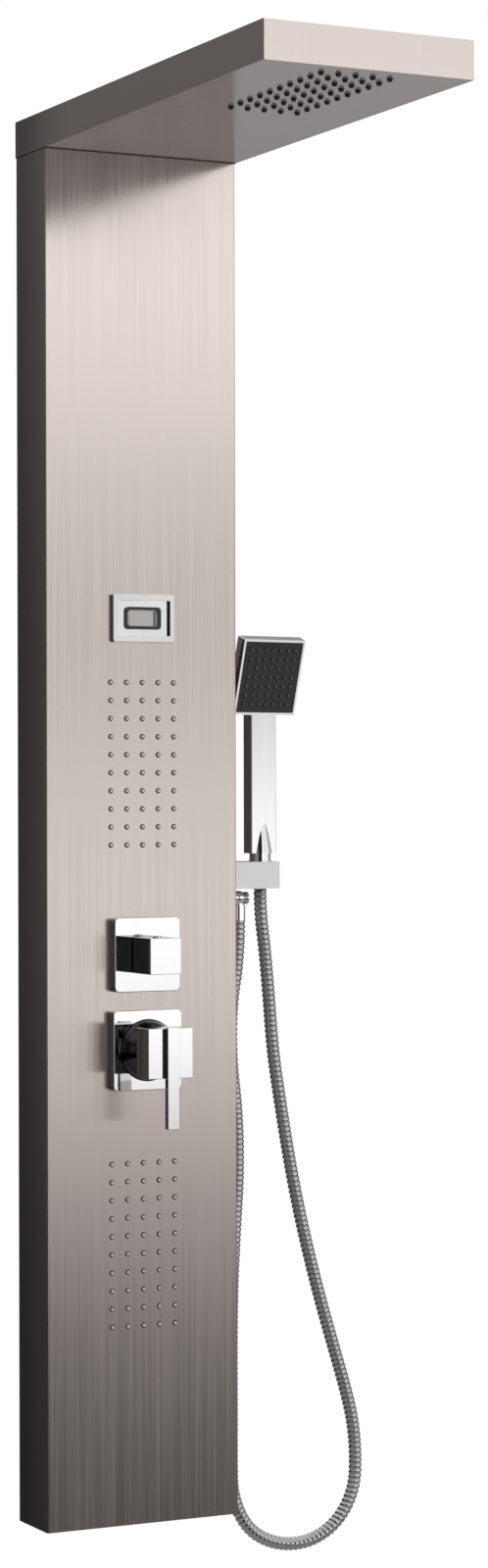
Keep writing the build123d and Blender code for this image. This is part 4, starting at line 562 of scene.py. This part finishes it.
def make_underside():
    """The sheet under the head: brushed along the head, a little more scattering, and painted
    paler and less metallic than the column's steel as painted reflected light from the lit column
    front.
    """
    finish = Finish("underside_painted_light", UNDERSIDE_PAINTED_LIGHT, 0.14, metallic=UNDERSIDE_METALLIC)
    grain = finish.noise((500, 5, 500), detail=4)
    finish.vary_colour(grain, 0.04)
    finish.vary_roughness(grain, 0.03)
    finish.emboss(grain, FINE_RELIEF, 0.2)
    return finish.material


def make_liquid_crystal():
    """Grey liquid crystal, darker along the edge where its frame shades it."""
    finish = Finish("liquid_crystal", LCD_MIDDLE, 0.25)
    split = finish.nodes.new("ShaderNodeSeparateXYZ")
    finish.links.new(finish.place, split.inputs[0])
    edge = finish.nodes.new("ShaderNodeMapRange")
    edge.inputs["From Min"].default_value = LCD_SHADE[0]
    edge.inputs["From Max"].default_value = LCD_SHADE[1]
    edge.inputs["To Min"].default_value = 0.7
    edge.inputs["To Max"].default_value = -1.2
    finish.links.new(split.outputs["X"], edge.inputs["Value"])
    finish.vary_colour(edge.outputs[0], 0.0)
    mix = finish.shader.inputs["Base Color"].links[0].from_node
    mix.inputs["A"].default_value = (*LCD_EDGE, 1)
    finish.emboss(finish.noise((400, 400, 400)), LCD_RELIEF, 0.3)
    return finish.material


def polished(name, colour=(0.94, 0.94, 0.95), roughness=0.05):
    """Chrome with a slight unevenness."""
    finish = Finish(name, colour, roughness, metallic=1.0)
    haze = finish.noise((35, 35, 35), detail=4)
    finish.vary_colour(haze, 0.02)
    finish.vary_roughness(haze, 0.02)
    return finish.material


def plain(name, colour, roughness, metallic=0.0, grain=400, depth=0.02):
    """Moulded, cast or turned stuff with a fine grain."""
    finish = Finish(name, colour, roughness, metallic)
    noise = finish.noise((grain, grain, grain))
    finish.vary_colour(noise, 0.06)
    finish.vary_roughness(noise, 0.06)
    finish.emboss(noise, depth * MM, 0.3)
    return finish.material


def make_materials():
    """One material for each of the record's slots."""
    return {
        "brushed_steel": brushed("brushed_steel", STEEL, 0.22, (520, 520, 4), 0.035, 0.75, 0.60),
        "bracket_steel": brushed("bracket_steel", (0.62, 0.62, 0.63), 0.35, (30, 900, 900)),
        "fastener_steel": plain("fastener_steel", (0.55, 0.55, 0.56), 0.3, 1.0),
        "chrome": polished("chrome"),
        "display_panel": polished("display_panel", (0.95, 0.95, 0.95), 0.10),
        "display_black": plain("display_black", (0.025, 0.025, 0.03), 0.12, depth=0.002),
        "liquid_crystal": make_liquid_crystal(),
        "brass": plain("brass", (0.72, 0.56, 0.28), 0.28, 1.0, grain=150),
        "valve_steel": plain("valve_steel", (0.6, 0.6, 0.6), 0.22, 1.0),
        "cartridge_plastic": plain("cartridge_plastic", (0.80, 0.80, 0.78), 0.45),
        "chamber_plastic": plain("chamber_plastic", (0.74, 0.74, 0.71), 0.5),
        "water_hose": plain("water_hose", (0.62, 0.65, 0.66), 0.35),
        "dark_silicone": plain("dark_silicone", (0.018, 0.018, 0.02), 0.45),
        "jet_silicone": plain("jet_silicone", (0.72, 0.69, 0.66), 0.4),
        "probe_black": plain("probe_black", (0.03, 0.03, 0.03), 0.5),
        "face_black": plain("face_black", (0.022, 0.022, 0.024), 0.35),
        "hose_steel": polished("hose_steel", (0.60, 0.60, 0.61), 0.06),
    }


# ---------------------------------------------------------------- shower hose


def hose_line():
    """Points along the hose's own NURBS line, close together."""
    data = bpy.data.curves.new("hose_line", "CURVE")
    data.dimensions = "3D"
    data.resolution_u = 24
    spline = data.splines.new("NURBS")
    spline.points.add(len(HOSE_ROUTE) - 1)
    for point, (x, z) in zip(spline.points, HOSE_ROUTE):
        point.co = (x, HOSE_PLANE, z, 1)
    spline.order_u = 3
    spline.use_endpoint_u = True
    carrier = bpy.data.objects.new("hose_line", data)
    bpy.context.scene.collection.objects.link(carrier)
    line = bpy.data.meshes.new_from_object(carrier)
    points = np.array([vertex.co[:] for vertex in line.vertices])
    bpy.data.objects.remove(carrier)
    bpy.data.meshes.remove(line)
    return points


def even_points(points, step):
    """Places and directions at even distances along a line."""
    runs = np.linalg.norm(np.diff(points, axis=0), axis=1)
    along = np.concatenate([[0], np.cumsum(runs)])
    count = int(round(along[-1] / step)) + 1
    stations = np.linspace(0, along[-1], count)
    places = np.stack([np.interp(stations, along, points[:, axis]) for axis in range(3)], axis=1)
    slopes = np.gradient(places, stations, axis=0)
    slopes /= np.linalg.norm(slopes, axis=1, keepdims=True)
    return stations, places, slopes


def rib_height(turns):
    """Height over the groove of an interlocked spiral, from 0 to 1, over its turns."""
    phase = np.mod(turns, 1.0)
    return np.sin(np.pi * np.clip(phase / RIB_SHARE, 0, 1)) ** RIB_ROUNDNESS


def make_hose(materials):
    """The ribbed metal hose along its line, in place of the CAD's plain tube."""
    line = hose_line()
    stations, places, slopes = even_points(line, RIB_PITCH / RIB_SAMPLES)
    angles = np.arange(HOSE_SIDES) * 2 * math.pi / HOSE_SIDES
    side = np.array([0.0, 1.0, 0.0])
    across = np.cross(slopes, side)
    turns = stations[:, None] / RIB_PITCH + angles[None, :] / (2 * math.pi)
    radii = HOSE_DIAMETER / 2 - RIB_DEPTH * (1 - rib_height(turns))
    rings = (
        places[:, None, :]
        + (radii * np.cos(angles))[:, :, None] * across[:, None, :]
        + (radii * np.sin(angles))[:, :, None] * side
    )
    vertices = rings.reshape(-1, 3).tolist()
    faces = []
    for ring in range(len(stations) - 1):
        for index in range(HOSE_SIDES):
            after = (index + 1) % HOSE_SIDES
            low, high = ring * HOSE_SIDES, (ring + 1) * HOSE_SIDES
            faces.append((low + index, low + after, high + after, high + index))
    faces.append(tuple(range(HOSE_SIDES)))
    faces.append(tuple(reversed(range(len(vertices) - HOSE_SIDES, len(vertices)))))
    mesh = bpy.data.meshes.new("shower_hose_spiral")
    mesh.from_pydata(vertices, [], faces)
    mesh.shade_smooth()
    mesh.materials.append(materials["hose_steel"])
    hose = bpy.data.objects.new("shower_hose_spiral", mesh)
    bpy.context.scene.collection.objects.link(hose)
    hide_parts("shower_hose")
    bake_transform(hose)


# ---------------------------------------------------------------- body jets


def turned_field(name, outline, middle_height):
    """A field of turned shapes on the column's face: outline turned about each jet's axis."""
    vertices, faces = [], []
    for row in range(JET_ROWS):
        for column in range(JET_COLUMNS):
            x = (column - (JET_COLUMNS - 1) / 2) * JET_PITCH[0]
            z = middle_height + (row - (JET_ROWS - 1) / 2) * JET_PITCH[1]
            start = len(vertices)
            for radius, height in outline:
                for side in range(JET_SIDES):
                    angle = 2 * math.pi * side / JET_SIDES
                    vertices.append((
                        x + radius * MM * math.cos(angle),
                        JET_FACE - height * MM,
                        z + radius * MM * math.sin(angle),
                    ))
            for ring in range(len(outline) - 1):
                for side in range(JET_SIDES):
                    after = (side + 1) % JET_SIDES
                    low = start + ring * JET_SIDES
                    high = low + JET_SIDES
                    faces.append((low + side, low + after, high + after, high + side))
    mesh = bpy.data.meshes.new(name)
    mesh.from_pydata(vertices, [], faces)
    cleaned = bmesh.new()
    cleaned.from_mesh(mesh)
    bmesh.ops.remove_doubles(cleaned, verts=cleaned.verts, dist=0.001 * MM)
    cleaned.to_mesh(mesh)
    cleaned.free()
    mesh.shade_smooth()
    piece = bpy.data.objects.new(name, mesh)
    bpy.context.scene.collection.objects.link(piece)
    return piece


def make_jets(materials):
    """The black rings (painted shade round each nub) and the nubs of both fields of body jets."""
    for field, height in JET_FIELDS.items():
        # The black rings are painted shade, standing in for the dark gap round each nub.
        for part, outline, slot in (
            ("shade_rings", JET_SHADE_RING, "dark_silicone"),
            ("nubs", JET_NUB, "jet_silicone"),
        ):
            piece = turned_field(f"{field}_jet_{part}", outline, height)
            piece.data.materials.append(materials[slot])
            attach(piece, "panel")


# ---------------------------------------------------------------- seam under the head


def make_seam(materials):
    """A thin black bead where the head sits on the column, around the front and both sides:
    painted shade for the shaded step there.
    """
    outer, radius = SEAM_SIDE, SEAM_RADIUS
    path = [
        Vector((-outer, SEAM_BACK, SEAM_HEIGHT)),
        Vector((-outer, SEAM_FRONT, SEAM_HEIGHT)),
        Vector((outer, SEAM_FRONT, SEAM_HEIGHT)),
        Vector((outer, SEAM_BACK, SEAM_HEIGHT)),
    ]
    outwards = [Vector((-1, 0, 0)), Vector((-1, -1, 0)), Vector((1, -1, 0)), Vector((1, 0, 0))]
    vertices, faces = [], []
    for place, out in zip(path, outwards):
        for side in range(SEAM_SIDES):
            angle = 2 * math.pi * side / SEAM_SIDES
            across = out * (radius * math.cos(angle))
            vertices.append(place + across + Vector((0, 0, radius * math.sin(angle))))
    for ring in range(len(path) - 1):
        for side in range(SEAM_SIDES):
            after = (side + 1) % SEAM_SIDES
            low, high = ring * SEAM_SIDES, (ring + 1) * SEAM_SIDES
            faces.append((low + side, low + after, high + after, high + side))
    faces.append(tuple(reversed(range(SEAM_SIDES))))
    faces.append(tuple(range(len(vertices) - SEAM_SIDES, len(vertices))))
    mesh = bpy.data.meshes.new("head_step_shade")
    mesh.from_pydata(vertices, [], faces)
    # This dark piece is painted shade at the step under the head.
    mesh.materials.append(materials["dark_silicone"])
    seam = bpy.data.objects.new("head_step_shade", mesh)
    bpy.context.scene.collection.objects.link(seam)
    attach(seam, "panel")


# ---------------------------------------------------------------- the parts


def dress_cad(materials):
    """Gives every carried-over CAD node the material of its slot, or its own finish of it."""
    soft = cast_chrome("soft_chrome", (0.76, 0.755, 0.765), 0.06, (40, 300, 40), 0.02)
    bright = cast_chrome("bright_chrome", (0.86, 0.855, 0.865), 0.06, (300, 300, 30), 0.02)
    # Colours set by the photograph: the ball's near black is a painted dark reflection, what
    # chrome reflects there.
    own = {
        "head_underside_plate": make_underside(),
        "diverter_plate": soft,
        "diverter_knob": soft,
        "knob_plug": soft,
        "mixer_plate": bright,
        "mixer_block": bright,
        "mixer_lever": bright,
        # The ball's near-black base colour is painted dark reflection on chrome.
        "mixer_ball": cast_chrome("ball_painted_dark_reflection", (0.06, 0.06, 0.065), 0.07, (60, 60, 20), 0.3),
        "handset_holder": cast_chrome(
            "holder_chrome", (0.64, 0.63, 0.635), 0.2, (60, 60, 60), 0.06
        ),
        "handset_body": cast_chrome(
            "handset_chrome", (0.80, 0.79, 0.795), 0.08, (420, 420, 14), 0.05
        ),
        "handset_nozzles": plain("nozzle_rubber", (0.10, 0.10, 0.105), 0.22, 0.55, depth=0.005),
    }
    for part in frame["record"]["subparts"]:
        node = frame["nodes"][part["node"]]
        for holder in node.material_slots:
            holder.material = own.get(part["node"], materials[part["material_slot"]])


make_camera()
make_studio()
MATERIALS = make_materials()
make_hose(MATERIALS)
make_jets(MATERIALS)
make_seam(MATERIALS)
dress_cad(MATERIALS)
